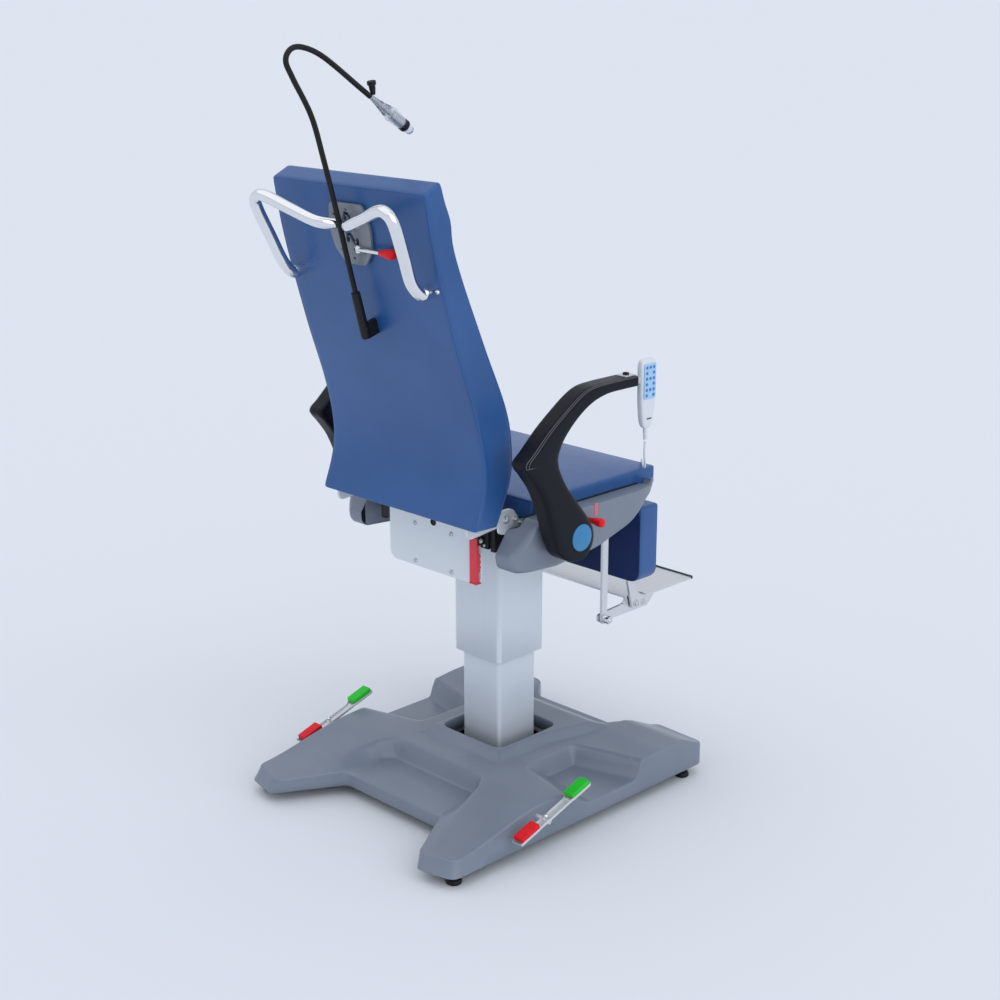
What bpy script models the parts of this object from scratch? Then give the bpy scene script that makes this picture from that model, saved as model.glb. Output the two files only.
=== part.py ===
"""Ear, nose and throat examination chair, as an assembly of separate parts.

Metres, +Z up, heights from the floor. The sitter faces -Y, with the right hand at -X.
Lengths along Y are counted from the column's axis, and the chair_origin empty shifts
them so that the middle of the whole chair lies over the frame's origin.
"""
import math

import bmesh
import bpy
from mathutils import Vector

# clearances
GAP = 0.0003
RUNNING_GAP = 0.001
WELD = 0.00001

# datums: top of the seat frame's rails, and the ends that set the chair's length
SEAT_Z = 0.7032
FOOTREST_FRONT_Y = -0.431
NECK_REAR_Y = 0.5630
NECK_RADIUS = 0.0055
COLUMN_Y = -(FOOTREST_FRONT_Y + NECK_REAR_Y + NECK_RADIUS) / 2

# base cover
BASE_BOTTOM = 0.026
BASE_WALL = 0.004
BASE_EDGE = 0.008
DECK_Z = 0.104
PAN_Z = 0.060
COLLAR_Z = 0.122
COLLAR_LIP = 0.030
COLLAR_RIM = 0.010
COLLAR_FLANK = 0.022
COLLAR_FRONT_Y = -0.195
COLLAR_SPREAD = 0.040
OPENING_HALF = 0.097
OPENING_ROUND = 9
BASE_REAR_EDGE_Y = 0.335
BASE_REAR_NECK_X = 0.155
BASE_TIP_INNER = (0.244, 0.490)
BASE_TIP_OUTER = (0.337, 0.468)
BASE_FRONT_OUTER = (0.344, -0.335)
BASE_FRONT_INNER = (0.190, -0.345)
BASE_FRONT_NECK_X = 0.155
BASE_FRONT_EDGE_Y = -0.295
BASE_CORNER = 0.022
BASE_DRAFT = 0.015
BASE_SPACING = 0.085
BASE_RINGS = 6
REAR_SLOPE_Y = 0.175
REAR_TIP_DROP = 0.042
HUMP_START_Y = -0.110
HUMP_TOP_Y = -0.190
HUMP_RISE = 0.005
FRONT_SLOPE_Y = -0.240
FRONT_TIP_DROP = 0.032
PAN_INNER_X = 0.170
PAN_INNER_Y = 0.190
PAN_FLANK = 0.012
PAN_SIDE_REAR = (0.032, 0.062)
PAN_SIDE_REAR_TOP = (0.088, 0.135)
PAN_SIDE_FRONT = (-0.052, -0.098)
PAN_END_HALF = (0.120, 0.148, 0.150, 0.240)
PAN_END_HALF_TOP = (0.128, 0.158, 0.196, 0.262)
PAN_END_AT = (0.190, 0.231, 0.335, 0.490)

# base frame and levelling feet
BASE_FRAME_Z = 0.041
BASE_FRAME_THICK = 0.008
BASE_FRAME_REAR_Y = 0.160
BASE_FRAME_FRONT_Y = -0.150
BASE_FRAME_HALF = 0.150
BASE_ARM_HALF = 0.018
BASE_ARM_END = 0.008
FOOT_REAR = (0.305, 0.438)
FOOT_FRONT = (0.318, -0.288)
FOOT_RADIUS = 0.016
FOOT_HEIGHT = 0.012
FOOT_STEM_RADIUS = 0.005

# pedals and transport castors
PEDAL_PIVOT = (0.215, 0.080)
PEDAL_TILT = math.radians(17.5)
PEDAL_X = 0.358
PEDAL_WIDTH = 0.022
PEDAL_THICK = 0.006
PEDAL_LENGTH = 0.215
PEDAL_PAD = (0.027, 0.056, 0.012)
PEDAL_GREEN_REACH = 0.102
PEDAL_RED_REACH = 0.060
PEDAL_SHAFT_RADIUS = 0.006
BEARING_X = 0.240
BEARING_WIDTH = 0.022
BEARING_HALF_Y = 0.021
BEARING_TOP = 0.010
CRANK_X = 0.266
CRANK_THICK = 0.006
CRANK_REACH = (-0.045, -0.047)
CRANK_RADIUS = 0.009
CASTOR_RADIUS = 0.024
CASTOR_WIDTH = 0.022
CASTOR_AXLE_RADIUS = 0.005

# lifting column
INNER_HALF = 0.0600
INNER_CORNER = 0.010
INNER_WALL = 0.004
INNER_TOP = 0.460
OUTER_HALF = 0.0735
OUTER_CORNER = 0.012
OUTER_WALL = 0.008
OUTER_BOTTOM = 0.3125
GLIDE_LENGTH = 0.050
LIFT_ROD_RADIUS = 0.012
LIFT_ROD_TOP = 0.455
LIFT_BODY_RADIUS = 0.022
LIFT_BODY_BOTTOM = 0.400
LIFT_BORE_TOP = 0.640

# seat frame
RAIL_X = 0.168
RAIL_THICK = 0.012
RAIL_HEIGHT = 0.072
RAIL_FRONT_Y = -0.255
RAIL_NOSE = 0.010
RAIL_DROP_Y = -0.182
FRAME_PLATE_Z = SEAT_Z - 0.048
FRAME_PLATE_THICK = 0.008
FRAME_PLATE_FRONT_Y = -0.098
CROSS_DEPTH = 0.012
REAR_CROSS_Y = 0.1817
REAR_CROSS_TOP = SEAT_Z - 0.024
REAR_CROSS_BOTTOM = SEAT_Z - 0.066
FRONT_CROSS_HEIGHT = 0.016
FRONT_CROSS_HALF = 0.185

# seat, rear plate and side covers
SEAT_HALF = 0.240
SEAT_FRONT_Y = -0.255
SEAT_REAR_Y = 0.141
SEAT_THICK = 0.041
SEAT_CROWN = 0.006
REAR_PLATE_HALF = 0.144
REAR_PLATE_TOP = SEAT_Z - 0.004
REAR_PLATE_BOTTOM = SEAT_Z - 0.155
REAR_PLATE_THICK = 0.006
REAR_PLATE_CORNER = 0.020
COVER_INNER = 0.214
COVER_OUTER = 0.285
COVER_WALL = 0.004
COVER_EDGE = 0.0025
COVER_RIM = SEAT_Z + 0.013

# backrest and its hinge; outline heights are above the seat frame
RECLINE_Y = 0.194
RECLINE_RISE = 0.0098
RECLINE_SHAFT_RADIUS = 0.008
BACK_BOTTOM_HALF = 0.2404
BACK_TOP_HALF = 0.2300
BACK_CROWN = 0.006
BACK_REAR = ((0.308, 0.011), (0.284, 0.087), (0.281, 0.157), (0.303, 0.257),
             (0.350, 0.397), (0.402, 0.577), (0.427, 0.701))
BACK_FRONT = ((0.246, 0.009), (0.206, 0.097), (0.197, 0.162), (0.212, 0.252),
              (0.275, 0.397), (0.347, 0.572), (0.3855, 0.7215))
BACK_ARM_X = 0.200
BACK_ARM_THICK = 0.0065
BACK_ARM_DEPTH = 0.026
BACK_ARM_REAR_Y = 0.298
BRACKET_X = 0.2075
BRACKET_THICK = 0.006
BRACKET_RADIUS = 0.020
BRACKET_FOOT_Y = 0.110
MOTOR_HALF = 0.045
MOTOR_RING = 0.026
MOTOR_FRONT_Y = 0.146

# push handles, headrest plate, lever and pad
HANDLE_RADIUS = 0.0125
HANDLE_INNER_X = 0.024
HANDLE_ROUTE = ((0.0490, 0.0480, 0.629), (0.1090, 0.0600, 0.649), (0.1700, 0.0700, 0.670),
                (0.1960, 0.0720, 0.668), (0.2090, 0.0690, 0.648), (0.2030, 0.0540, 0.584),
                (0.1960, 0.0440, 0.530))
HANDLE_FOOT = (0.196, 0.511)
HANDLE_SOCKET = 0.008
PLATE_RISE = 0.605
PLATE_HALF = 0.062
PLATE_TOP_HALF = 0.048
PLATE_FOOT_HALF = 0.030
PLATE_HEIGHT = 0.126
PLATE_THICK = 0.008
LEVER_X = -0.022
LEVER_DROP = -0.027
LEVER_HUB_RADIUS = 0.009
LEVER_RADIUS = 0.0042
LEVER_LENGTH = 0.078
LEVER_KNOB_LENGTH = 0.050
LEVER_KNOB_RADIUS = 0.011
LEVER_OFFSET = 0.012
HEAD_PAD_HALF = 0.150
HEAD_PAD_HEIGHT = 0.150
HEAD_PAD_THICK = 0.030
HEAD_PAD_CROWN = 0.008
HEAD_PAD_RISE = 0.600
HEAD_STAND_OFF = 0.010
HEAD_GUIDE_HALF = 0.010
HEAD_GUIDE_HEIGHT = 0.040
HEAD_TRAVEL = 0.030

# examination lamp; the neck's route is (y, height) in the middle plane
SLEEVE_FOOT = (0.3811, 1.0929)
SLEEVE_TOP = (0.4073, 1.1902)
SLEEVE_RADIUS = 0.0085
NECK_ROUTE = ((0.4205, 1.2400), (0.4375, 1.3050), (0.4555, 1.3730), (0.4800, 1.4600),
              (0.5060, 1.5400), (0.5480, 1.6120), (NECK_REAR_Y, 1.6440), (0.5500, 1.6650),
              (0.5200, 1.6670), (0.4700, 1.6480), (0.4091, 1.6109), (0.3567, 1.5698))
HOLDER_HALF = 0.010
HOLDER_HEIGHT = 0.036
HOLDER_SOCKET = 0.003
HOLDER_RISE = 0.021
LAMP_TIP = (0.2497, 1.4963)
LAMP_RADIUS = 0.022
LAMP_NECK_RADIUS = 0.007
LAMP_BODY_LENGTH = 0.108
LAMP_LENS_RADIUS = 0.0165
LAMP_KNOB_RADIUS = 0.0075
LAMP_KNOB_HEIGHT = 0.034
LAMP_KNOB_AT = 0.012
LAMP_KNOB_SOCKET = 0.003
LAMP_KNOB_WAY = (0.0, 0.185, 0.980)

# leg rest, its links and the footrest
LEG_HINGE = (-0.2425, SEAT_Z - 0.0372)
LEG_LENGTH = 0.254
LINK = (0.110, -0.009)
LEG_PAD_HALF = 0.240
LEG_PAD_TOP = 0.011
LEG_PAD_LENGTH = 0.181
LEG_PAD_THICK = 0.060
LEG_PAD_REAR = 0.0325
LEG_PAD_CROWN = 0.003
LEG_PAD_CORNER = 0.035
LEG_FRAME_X = 0.199
LEG_FRAME_CLEAR = 0.0025
LEG_FRAME_THICK = 0.006
LEG_FRAME_DEPTH = 0.012
LEG_FRAME_BACK = 0.0195
LEG_EYE_RADIUS = 0.012
LEG_PIN_RADIUS = 0.006
LEG_BAR_HALF = 0.009
LEG_MOTOR_HALF = 0.040
LEG_MOTOR_RING = 0.022
LEG_MOTOR_FRONT_Y = -0.205
FOOT_PLATE_HALF = 0.220
FOOT_PLATE_NECK_HALF = LEG_FRAME_X - LEG_FRAME_CLEAR
FOOT_PLATE_Z = 0.0175
FOOT_PLATE_THICK = 0.004
FOOT_PLATE_REAR_Y = -0.212
FOOT_PLATE_STEP_Y = -0.262
FOOT_PLATE_CORNER = 0.012
GUSSET_THICK = 0.006

# armrests, their locks, and the hand control
ARM_PIVOT = (0.098, SEAT_Z - 0.0232)
ARM_INNER = 0.2945
ARM_OUTER = 0.341
ARM_EDGE = 0.006
ARM_BOSS_RADIUS = 0.026
ARM_FRONT_Y = -0.075
ARM_TOP_Z = SEAT_Z + 0.2933
ARM_PAD_THICK = 0.024
LOCK_AT = (0.018, SEAT_Z - 0.013)
LOCK_STEM_RADIUS = 0.005
LOCK_KNOB_RADIUS = 0.010
LOCK_KNOB_LENGTH = 0.034
LOCK_STEM_OUT = 0.010
HANDSET_X = -0.331
HANDSET_SIZE = (0.020, 0.048, 0.150)
HANDSET_FOOT_HALF = 0.016
HANDSET_TOP_Z = SEAT_Z + 0.323
HANDSET_EDGE = 0.004
HOOK_LENGTH = 0.010
RELIEF_LENGTH = 0.030
RELIEF_RADIUS = 0.0055
CORD_RADIUS = 0.0025
CORD_ROUTE = ((-0.3305, -0.1090, 0.1160), (-0.3220, -0.1210, 0.0930), (-0.2990, -0.1480, 0.0720),
              (-0.2660, -0.1830, 0.0620), (-0.2330, -0.2190, 0.0570), (-0.2080, -0.2460, 0.0520),
              (-0.1920, -0.2660, 0.0380), (-0.1840, -0.2765, 0.0180), (-0.1800, -0.2755, 0.0010))
CORD_STEP = 0.0125
GLAND_X = -0.1780
GLAND_LENGTH = 0.012
GLAND_RADIUS = 0.005
GLAND_DROP = 0.0080

# emergency release lever
RELEASE_X = -0.1385
RELEASE_PIVOT = (0.2085, SEAT_Z - 0.048)
RELEASE_WIDTH = 0.023
RELEASE_THICK = 0.003
RELEASE_TOP = 0.006
RELEASE_LENGTH = 0.104
RELEASE_FLANGE = 0.014
RELEASE_PIN_RADIUS = 0.003
RELEASE_BRACKET = (0.022, 0.036)

# finishes: colour, roughness, metallic
FINISHES = {
    "upholstery": ((0.055, 0.115, 0.300), 0.45, 0.0),
    "moulded_grey": ((0.180, 0.215, 0.275), 0.45, 0.0),
    "painted_steel": ((0.480, 0.530, 0.590), 0.40, 0.3),
    "dark_steel": ((0.060, 0.065, 0.075), 0.50, 0.4),
    "stainless": ((0.620, 0.630, 0.640), 0.25, 1.0),
    "chrome": ((0.750, 0.760, 0.780), 0.10, 1.0),
    "black_plastic": ((0.020, 0.020, 0.023), 0.50, 0.0),
    "red_plastic": ((0.620, 0.016, 0.025), 0.35, 0.0),
    "green_plastic": ((0.020, 0.520, 0.040), 0.40, 0.0),
    "white_plastic": ((0.720, 0.740, 0.760), 0.40, 0.0),
    "clear_lens": ((0.800, 0.850, 0.900), 0.08, 0.0),
}

PLANES = {
    "XY": (0.0, 0.0, 0.0),
    "XZ": (math.pi / 2, 0.0, 0.0),
    "YZ": (math.pi / 2, 0.0, math.pi / 2),
}
ROUND_SIDES = 24
SIDES = (("right", -1), ("left", 1))

EMPTIES = {}
BODY_AT = {}


def new_collection(name):
    collection = bpy.data.collections.new(name)
    bpy.context.scene.collection.children.link(collection)
    return collection


def clear_scene():
    for obj in list(bpy.data.objects):
        bpy.data.objects.remove(obj, do_unlink=True)


clear_scene()
PARTS = new_collection("ent_chair")
CUTTERS = new_collection("cutters")


def finish_material(name):
    """The shared material of one finish."""
    if name in bpy.data.materials:
        return bpy.data.materials[name]
    colour, roughness, metallic = FINISHES[name]
    material = bpy.data.materials.new(name)
    material.use_nodes = True
    shader = material.node_tree.nodes["Principled BSDF"]
    shader.inputs["Base Color"].default_value = (*colour, 1.0)
    shader.inputs["Roughness"].default_value = roughness
    shader.inputs["Metallic"].default_value = metallic
    return material


def add_body(name, parent, at):
    """An empty on a body's joint axis, hung on the body that carries it."""
    empty = bpy.data.objects.new(f"axis_{name}", None)
    PARTS.objects.link(empty)
    BODY_AT[name] = Vector(at)
    EMPTIES[name] = empty
    if parent:
        empty.parent = EMPTIES[parent]
        empty.location = BODY_AT[name] - BODY_AT[parent]
    else:
        empty.location = (0.0, COLUMN_Y, 0.0)
    return empty


def add(name, data, body, finish, at, turn=(0.0, 0.0, 0.0)):
    """An object at a chair position, riding on its body's empty; no finish means a cutter."""
    obj = bpy.data.objects.new(name, data)
    obj.parent = EMPTIES[body]
    obj.location = Vector(at) - BODY_AT[body]
    obj.rotation_euler = turn
    if finish:
        PARTS.objects.link(obj)
        data.materials.append(finish_material(finish))
    else:
        CUTTERS.objects.link(obj)
        hide(obj)
    return obj


def hide(obj):
    obj.hide_render = True
    obj.display_type = "WIRE"


def mesh_from(name, bm):
    mesh = bpy.data.meshes.new(name)
    bm.to_mesh(mesh)
    bm.free()
    return mesh


def smooth_shading(mesh):
    mesh.shade_smooth()
    mesh.set_sharp_from_angle(angle=math.radians(35))


def round_edges(obj, width, segments=2):
    bevel = obj.modifiers.new("rounded_edges", "BEVEL")
    bevel.width = width
    bevel.segments = segments
    bevel.limit_method = "ANGLE"
    bevel.angle_limit = math.radians(50)


def box(name, body, finish, low, high, bevel=0.0, turn=(0.0, 0.0, 0.0)):
    """A box between two corners, turned about its middle."""
    low = Vector(low)
    high = Vector(high)
    bm = bmesh.new()
    bmesh.ops.create_cube(bm, size=1.0)
    bmesh.ops.scale(bm, vec=high - low, verts=bm.verts)
    obj = add(name, mesh_from(name, bm), body, finish, (low + high) / 2, turn)
    if bevel:
        round_edges(obj, bevel)
    return obj


def rod(name, body, finish, radius, start, end, sides=ROUND_SIDES, end_radius=None):
    """A round bar or cone from one point to another."""
    start = Vector(start)
    end = Vector(end)
    along = end - start
    bm = bmesh.new()
    bmesh.ops.create_cone(bm, cap_ends=True, segments=sides, radius1=radius,
                          radius2=radius if end_radius is None else end_radius, depth=along.length)
    mesh = mesh_from(name, bm)
    smooth_shading(mesh)
    turn = along.to_track_quat("Z", "Y").to_euler()
    return add(name, mesh, body, finish, (start + end) / 2, turn)


def turned(name, body, finish, profile, start, end, steps=ROUND_SIDES):
    """A turned piece: (radius, height) pairs from top to bottom, spun about start to end."""
    mesh = bpy.data.meshes.new(name)
    points = [(radius, 0.0, height) for radius, height in profile]
    mesh.from_pydata(points, [(i, i + 1) for i in range(len(points) - 1)], [])
    turn = (Vector(end) - Vector(start)).to_track_quat("Z", "Y").to_euler()
    obj = add(name, mesh, body, finish, start, turn)
    screw = obj.modifiers.new("turned", "SCREW")
    screw.steps = steps
    screw.render_steps = steps
    screw.use_merge_vertices = True
    screw.merge_threshold = WELD
    return obj


def rounded(corners, steps=3):
    """A polygon with each (u, v, radius) corner replaced by an arc; no radius keeps it sharp."""
    outline = []
    for i, corner in enumerate(corners):
        here = Vector(corner[:2])
        radius = corner[2] if len(corner) > 2 else 0.0
        before = Vector(corners[i - 1][:2]) - here
        after = Vector(corners[(i + 1) % len(corners)][:2]) - here
        half = before.angle(after) / 2
        if radius == 0.0 or half > math.radians(88):
            outline.append(tuple(here))
            continue
        bisector = (before.normalized() + after.normalized()).normalized()
        centre = here + bisector * (radius / math.sin(half))
        sweep = math.pi - 2 * half
        turn = 1 if before.x * after.y - before.y * after.x < 0 else -1
        first = here + before.normalized() * (radius / math.tan(half)) - centre
        for step in range(steps + 1):
            angle = turn * sweep * step / steps
            spoke = Vector((first.x * math.cos(angle) - first.y * math.sin(angle),
                            first.x * math.sin(angle) + first.y * math.cos(angle)))
            outline.append(tuple(centre + spoke))
    return outline


def inset(outline, distance):
    """A closed outline moved inward by a distance."""
    points = [Vector(point) for point in outline]
    behind = points[-1:] + points[:-1]
    ahead = points[1:] + points[:1]
    area = sum(a.x * b.y - a.y * b.x for a, b in zip(points, ahead))
    moved = []
    for before, here, after in zip(behind, points, ahead):
        first = (here - before).normalized().orthogonal() * math.copysign(1, area)
        second = (after - here).normalized().orthogonal() * math.copysign(1, area)
        middle = (first + second).normalized()
        moved.append(tuple(here + middle * (distance / max(middle.dot(first), 0.3))))
    return moved


def mirrored(half):
    """A closed outline from its half at +X, given from one end to the other."""
    return list(half) + [(-corner[0], *corner[1:]) for corner in reversed(half)]


def circle(centre, radius, sides=16):
    return [(centre[0] + radius * math.cos(2 * math.pi * i / sides),
             centre[1] + radius * math.sin(2 * math.pi * i / sides)) for i in range(sides)]


def rounded_square(half, radius):
    return rounded([(half, half, radius), (-half, half, radius),
                    (-half, -half, radius), (half, -half, radius)], steps=4)


def plate(name, body, finish, plane, outline, low, high, holes=(), edge=0.0, tilt=0.0, offset=(0, 0, 0)):
    """A flat outline filled and extruded from low to high along the plane's normal."""
    curve = bpy.data.curves.new(name, "CURVE")
    curve.dimensions = "2D"
    curve.fill_mode = "BOTH"
    curve.extrude = (high - low) / 2 - edge
    curve.bevel_depth = edge
    curve.bevel_resolution = 1
    for loop in (inset(outline, edge) if edge else outline, *holes):
        spline = curve.splines.new("POLY")
        spline.points.add(len(loop) - 1)
        for point, (u, v) in zip(spline.points, loop):
            point.co = (u, v, 0.0, 1.0)
        spline.use_cyclic_u = True
    middle = (low + high) / 2
    normal = {"XY": (0, 0, 1), "XZ": (0, 1, 0), "YZ": (1, 0, 0)}[plane]
    at = Vector(normal) * middle + Vector(offset)
    turn = list(PLANES[plane])
    turn[0] -= tilt
    return add(name, curve, body, finish, at, turn)


def as_mesh(obj):
    """A curve object made a welded mesh object of the same name and place."""
    bpy.context.view_layer.update()
    graph = bpy.context.evaluated_depsgraph_get()
    mesh = bpy.data.meshes.new_from_object(obj.evaluated_get(graph))
    bm = bmesh.new()
    bm.from_mesh(mesh)
    bmesh.ops.remove_doubles(bm, verts=bm.verts, dist=WELD)
    bmesh.ops.recalc_face_normals(bm, faces=bm.faces)
    bm.to_mesh(mesh)
    bm.free()
    name = obj.name
    solid = bpy.data.objects.new(name, mesh)
    solid.parent = obj.parent
    solid.location = obj.location
    solid.rotation_euler = obj.rotation_euler
    for collection in obj.users_collection:
        collection.objects.link(solid)
    if obj.hide_render:
        hide(solid)
    bpy.data.objects.remove(obj, do_unlink=True)
    solid.name = name
    return solid


def combine(obj, other, operation):
    """Cut another solid out of a piece, or weld it on; the other one stays as a hidden guide."""
    boolean = obj.modifiers.new(other.name, "BOOLEAN")
    boolean.operation = operation
    boolean.object = other
    boolean.solver = "EXACT"


def cut(obj, *cutters):
    for cutter in cutters:
        combine(obj, cutter, "DIFFERENCE")


def weld(obj, *others):
    for other in others:
        combine(obj, other, "UNION")


def smooth_route(points, step):
    """Points about one step apart on a Catmull-Rom curve through a route's own points."""
    route = [Vector(point) for point in points]
    ends = [2 * route[0] - route[1], *route, 2 * route[-1] - route[-2]]
    samples = []
    for p0, p1, p2, p3 in zip(ends, ends[1:], ends[2:], ends[3:]):
        count = max(1, round((p2 - p1).length / step))
        for i in range(count):
            t = i / count
            samples.append(0.5 * (2 * p1 + (p2 - p0) * t + (2 * p0 - 5 * p1 + 4 * p2 - p3) * t * t
                                  + (3 * p1 - p0 - 3 * p2 + p3) * t ** 3))
    samples.append(route[-1])
    return samples


def tube(name, body, finish, radius, points, step, resolution=2):
    """A round tube along a smooth route, with closed ends."""
    curve = bpy.data.curves.new(name, "CURVE")
    curve.dimensions = "3D"
    curve.bevel_depth = radius
    curve.bevel_resolution = resolution
    curve.use_fill_caps = True
    samples = smooth_route(points, step)
    spline = curve.splines.new("POLY")
    spline.points.add(len(samples) - 1)
    for point, sample in zip(spline.points, samples):
        point.co = (*sample, 1.0)
    return add(name, curve, body, finish, (0, 0, 0))


def padded(name, body, finish, cuts, shape, edge):
    """A cushion: a cube from -1 to 1, cut into a grid and formed by shape(u, v, w)."""
    bm = bmesh.new()
    bmesh.ops.create_cube(bm, size=2.0)
    for axis, count in enumerate(cuts):
        edges = [e for e in bm.edges if abs(e.verts[0].co[axis] - e.verts[1].co[axis]) > GAP]
        bmesh.ops.subdivide_edges(bm, edges=edges, cuts=count, use_grid_fill=True)
    for vertex in bm.verts:
        vertex.co = shape(*vertex.co)
    bmesh.ops.recalc_face_normals(bm, faces=bm.faces)
    obj = add(name, mesh_from(name, bm), body, finish, (0, 0, 0))
    round_edges(obj, edge)
    return obj


def ease(start, end, value):
    """0 before start, 1 after end, and a smooth step between them."""
    t = min(max((value - start) / (end - start), 0.0), 1.0)
    return t * t * (3 - 2 * t)


def between(value, places, sizes):
    """Straight lines through the sizes at their places, level beyond the ends."""
    if value <= places[0]:
        return sizes[0]
    for place, ahead, size, following in zip(places, places[1:], sizes, sizes[1:]):
        if value <= ahead:
            return size + (following - size) * (value - place) / (ahead - place)
    return sizes[-1]


def base_height(x, y):
    """Height of the base's deck: sloping legs, front humps and sunk pans round a raised collar."""
    x = abs(x)
    deck = DECK_Z - REAR_TIP_DROP * ease(REAR_SLOPE_Y, BASE_TIP_OUTER[1], y)
    deck += HUMP_RISE * ease(HUMP_START_Y, HUMP_TOP_Y, y)
    deck -= FRONT_TIP_DROP * ease(FRONT_SLOPE_Y, BASE_FRONT_INNER[1], y)
    across = (PAN_INNER_X, BASE_FRONT_OUTER[0])
    front = between(x, across, PAN_SIDE_FRONT)
    side = ease(PAN_INNER_X, PAN_INNER_X + PAN_FLANK, x) * ease(front - PAN_FLANK, front, y)
    side *= ease(between(x, across, PAN_SIDE_REAR_TOP), between(x, across, PAN_SIDE_REAR), y)
    end = ease(PAN_INNER_Y, PAN_INNER_Y + PAN_FLANK, abs(y))
    end *= ease(between(abs(y), PAN_END_AT, PAN_END_HALF_TOP), between(abs(y), PAN_END_AT, PAN_END_HALF), x)
    deck += (min(PAN_Z, deck) - deck) * max(side, end)
    rim = OPENING_HALF + COLLAR_RIM
    reach = rim + COLLAR_FLANK
    spread = COLLAR_SPREAD * ease(0.0, COLLAR_FRONT_Y, y)
    collar = 1 - ease(rim, reach, max(x - spread, y, y * reach / COLLAR_FRONT_Y))
    return deck + (COLLAR_Z - deck) * collar


def base_outline():
    """The base's plan, counter-clockwise from above, with points close enough for its humps."""
    half = [(BASE_REAR_NECK_X, BASE_REAR_EDGE_Y, BASE_CORNER),
            (*BASE_TIP_INNER, BASE_CORNER), (*BASE_TIP_OUTER, BASE_CORNER),
            (*BASE_FRONT_OUTER, BASE_CORNER), (*BASE_FRONT_INNER, BASE_CORNER),
            (BASE_FRONT_NECK_X, BASE_FRONT_EDGE_Y, BASE_CORNER)]
    corners = [Vector(point) for point in rounded(mirrored(half))]
    outline = []
    for here, ahead in zip(corners, corners[1:] + corners[:1]):
        count = max(1, math.ceil((ahead - here).length / BASE_SPACING))
        outline += [here.lerp(ahead, i / count) for i in range(count)]
    return outline[::-1]


def base_rings():
    """Rings of points from the collar's lip out over the deck and down the outer wall."""
    outline = base_outline()

    def square_ring(half):
        ring = []
        for point in outline:
            way = point.normalized()
            reach = (abs(way.x) ** OPENING_ROUND + abs(way.y) ** OPENING_ROUND) ** (-1 / OPENING_ROUND)
            ring.append(way * half * reach)
        return ring

    lip = square_ring(OPENING_HALF)
    rim = square_ring(OPENING_HALF + COLLAR_RIM)
    foot = square_ring(OPENING_HALF + COLLAR_RIM + COLLAR_FLANK)

    def drawn_in(least):
        row = []
        for point in outline:
            draft = BASE_DRAFT * ease(0.05, 0.25, point.y) * ease(BASE_REAR_NECK_X, BASE_TIP_INNER[0], abs(point.x))
            row.append(point * (1 - (least + draft) / point.length))
        return row

    edge = drawn_in(BASE_EDGE)
    rings = [[(*p, COLLAR_Z - COLLAR_LIP) for p in lip], [(*p, COLLAR_Z) for p in lip],
             [(*p, COLLAR_Z) for p in rim]]
    for step in range(BASE_RINGS + 1):
        share = step / BASE_RINGS
        row = [start.lerp(end, share) for start, end in zip(foot, edge)]
        rings.append([(*p, base_height(*p)) for p in row])
    rings.append([(*wall, base_height(*p) - BASE_EDGE) for p, wall in zip(edge, drawn_in(0.0))])
    rings.append([(*p, BASE_BOTTOM) for p in outline])
    return rings


def build_base_cover():
    """The moulded cover: a shell lofted from the collar's opening to the base's outline."""
    bm = bmesh.new()
    rings = [[bm.verts.new(point) for point in ring] for ring in base_rings()]
    for inner, outer in zip(rings, rings[1:]):
        for i in range(len(inner)):
            ahead = (i + 1) % len(inner)
            bm.faces.new((inner[i], outer[i], outer[ahead], inner[ahead]))
    mesh = mesh_from("base_cover", bm)
    smooth_shading(mesh)
    cover = add("base_cover", mesh, "base", "moulded_grey", (0, 0, 0))
    shell = cover.modifiers.new("wall", "SOLIDIFY")
    shell.thickness = BASE_WALL
    shell.offset = -1
    for side, sign in SIDES:
        hole = rod(f"pedal_hole_{side}", "base", None, PEDAL_SHAFT_RADIUS + GAP,
                   (sign * BEARING_X, *PEDAL_PIVOT), (sign * PEDAL_X, *PEDAL_PIVOT))
        cut(cover, hole)


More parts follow.
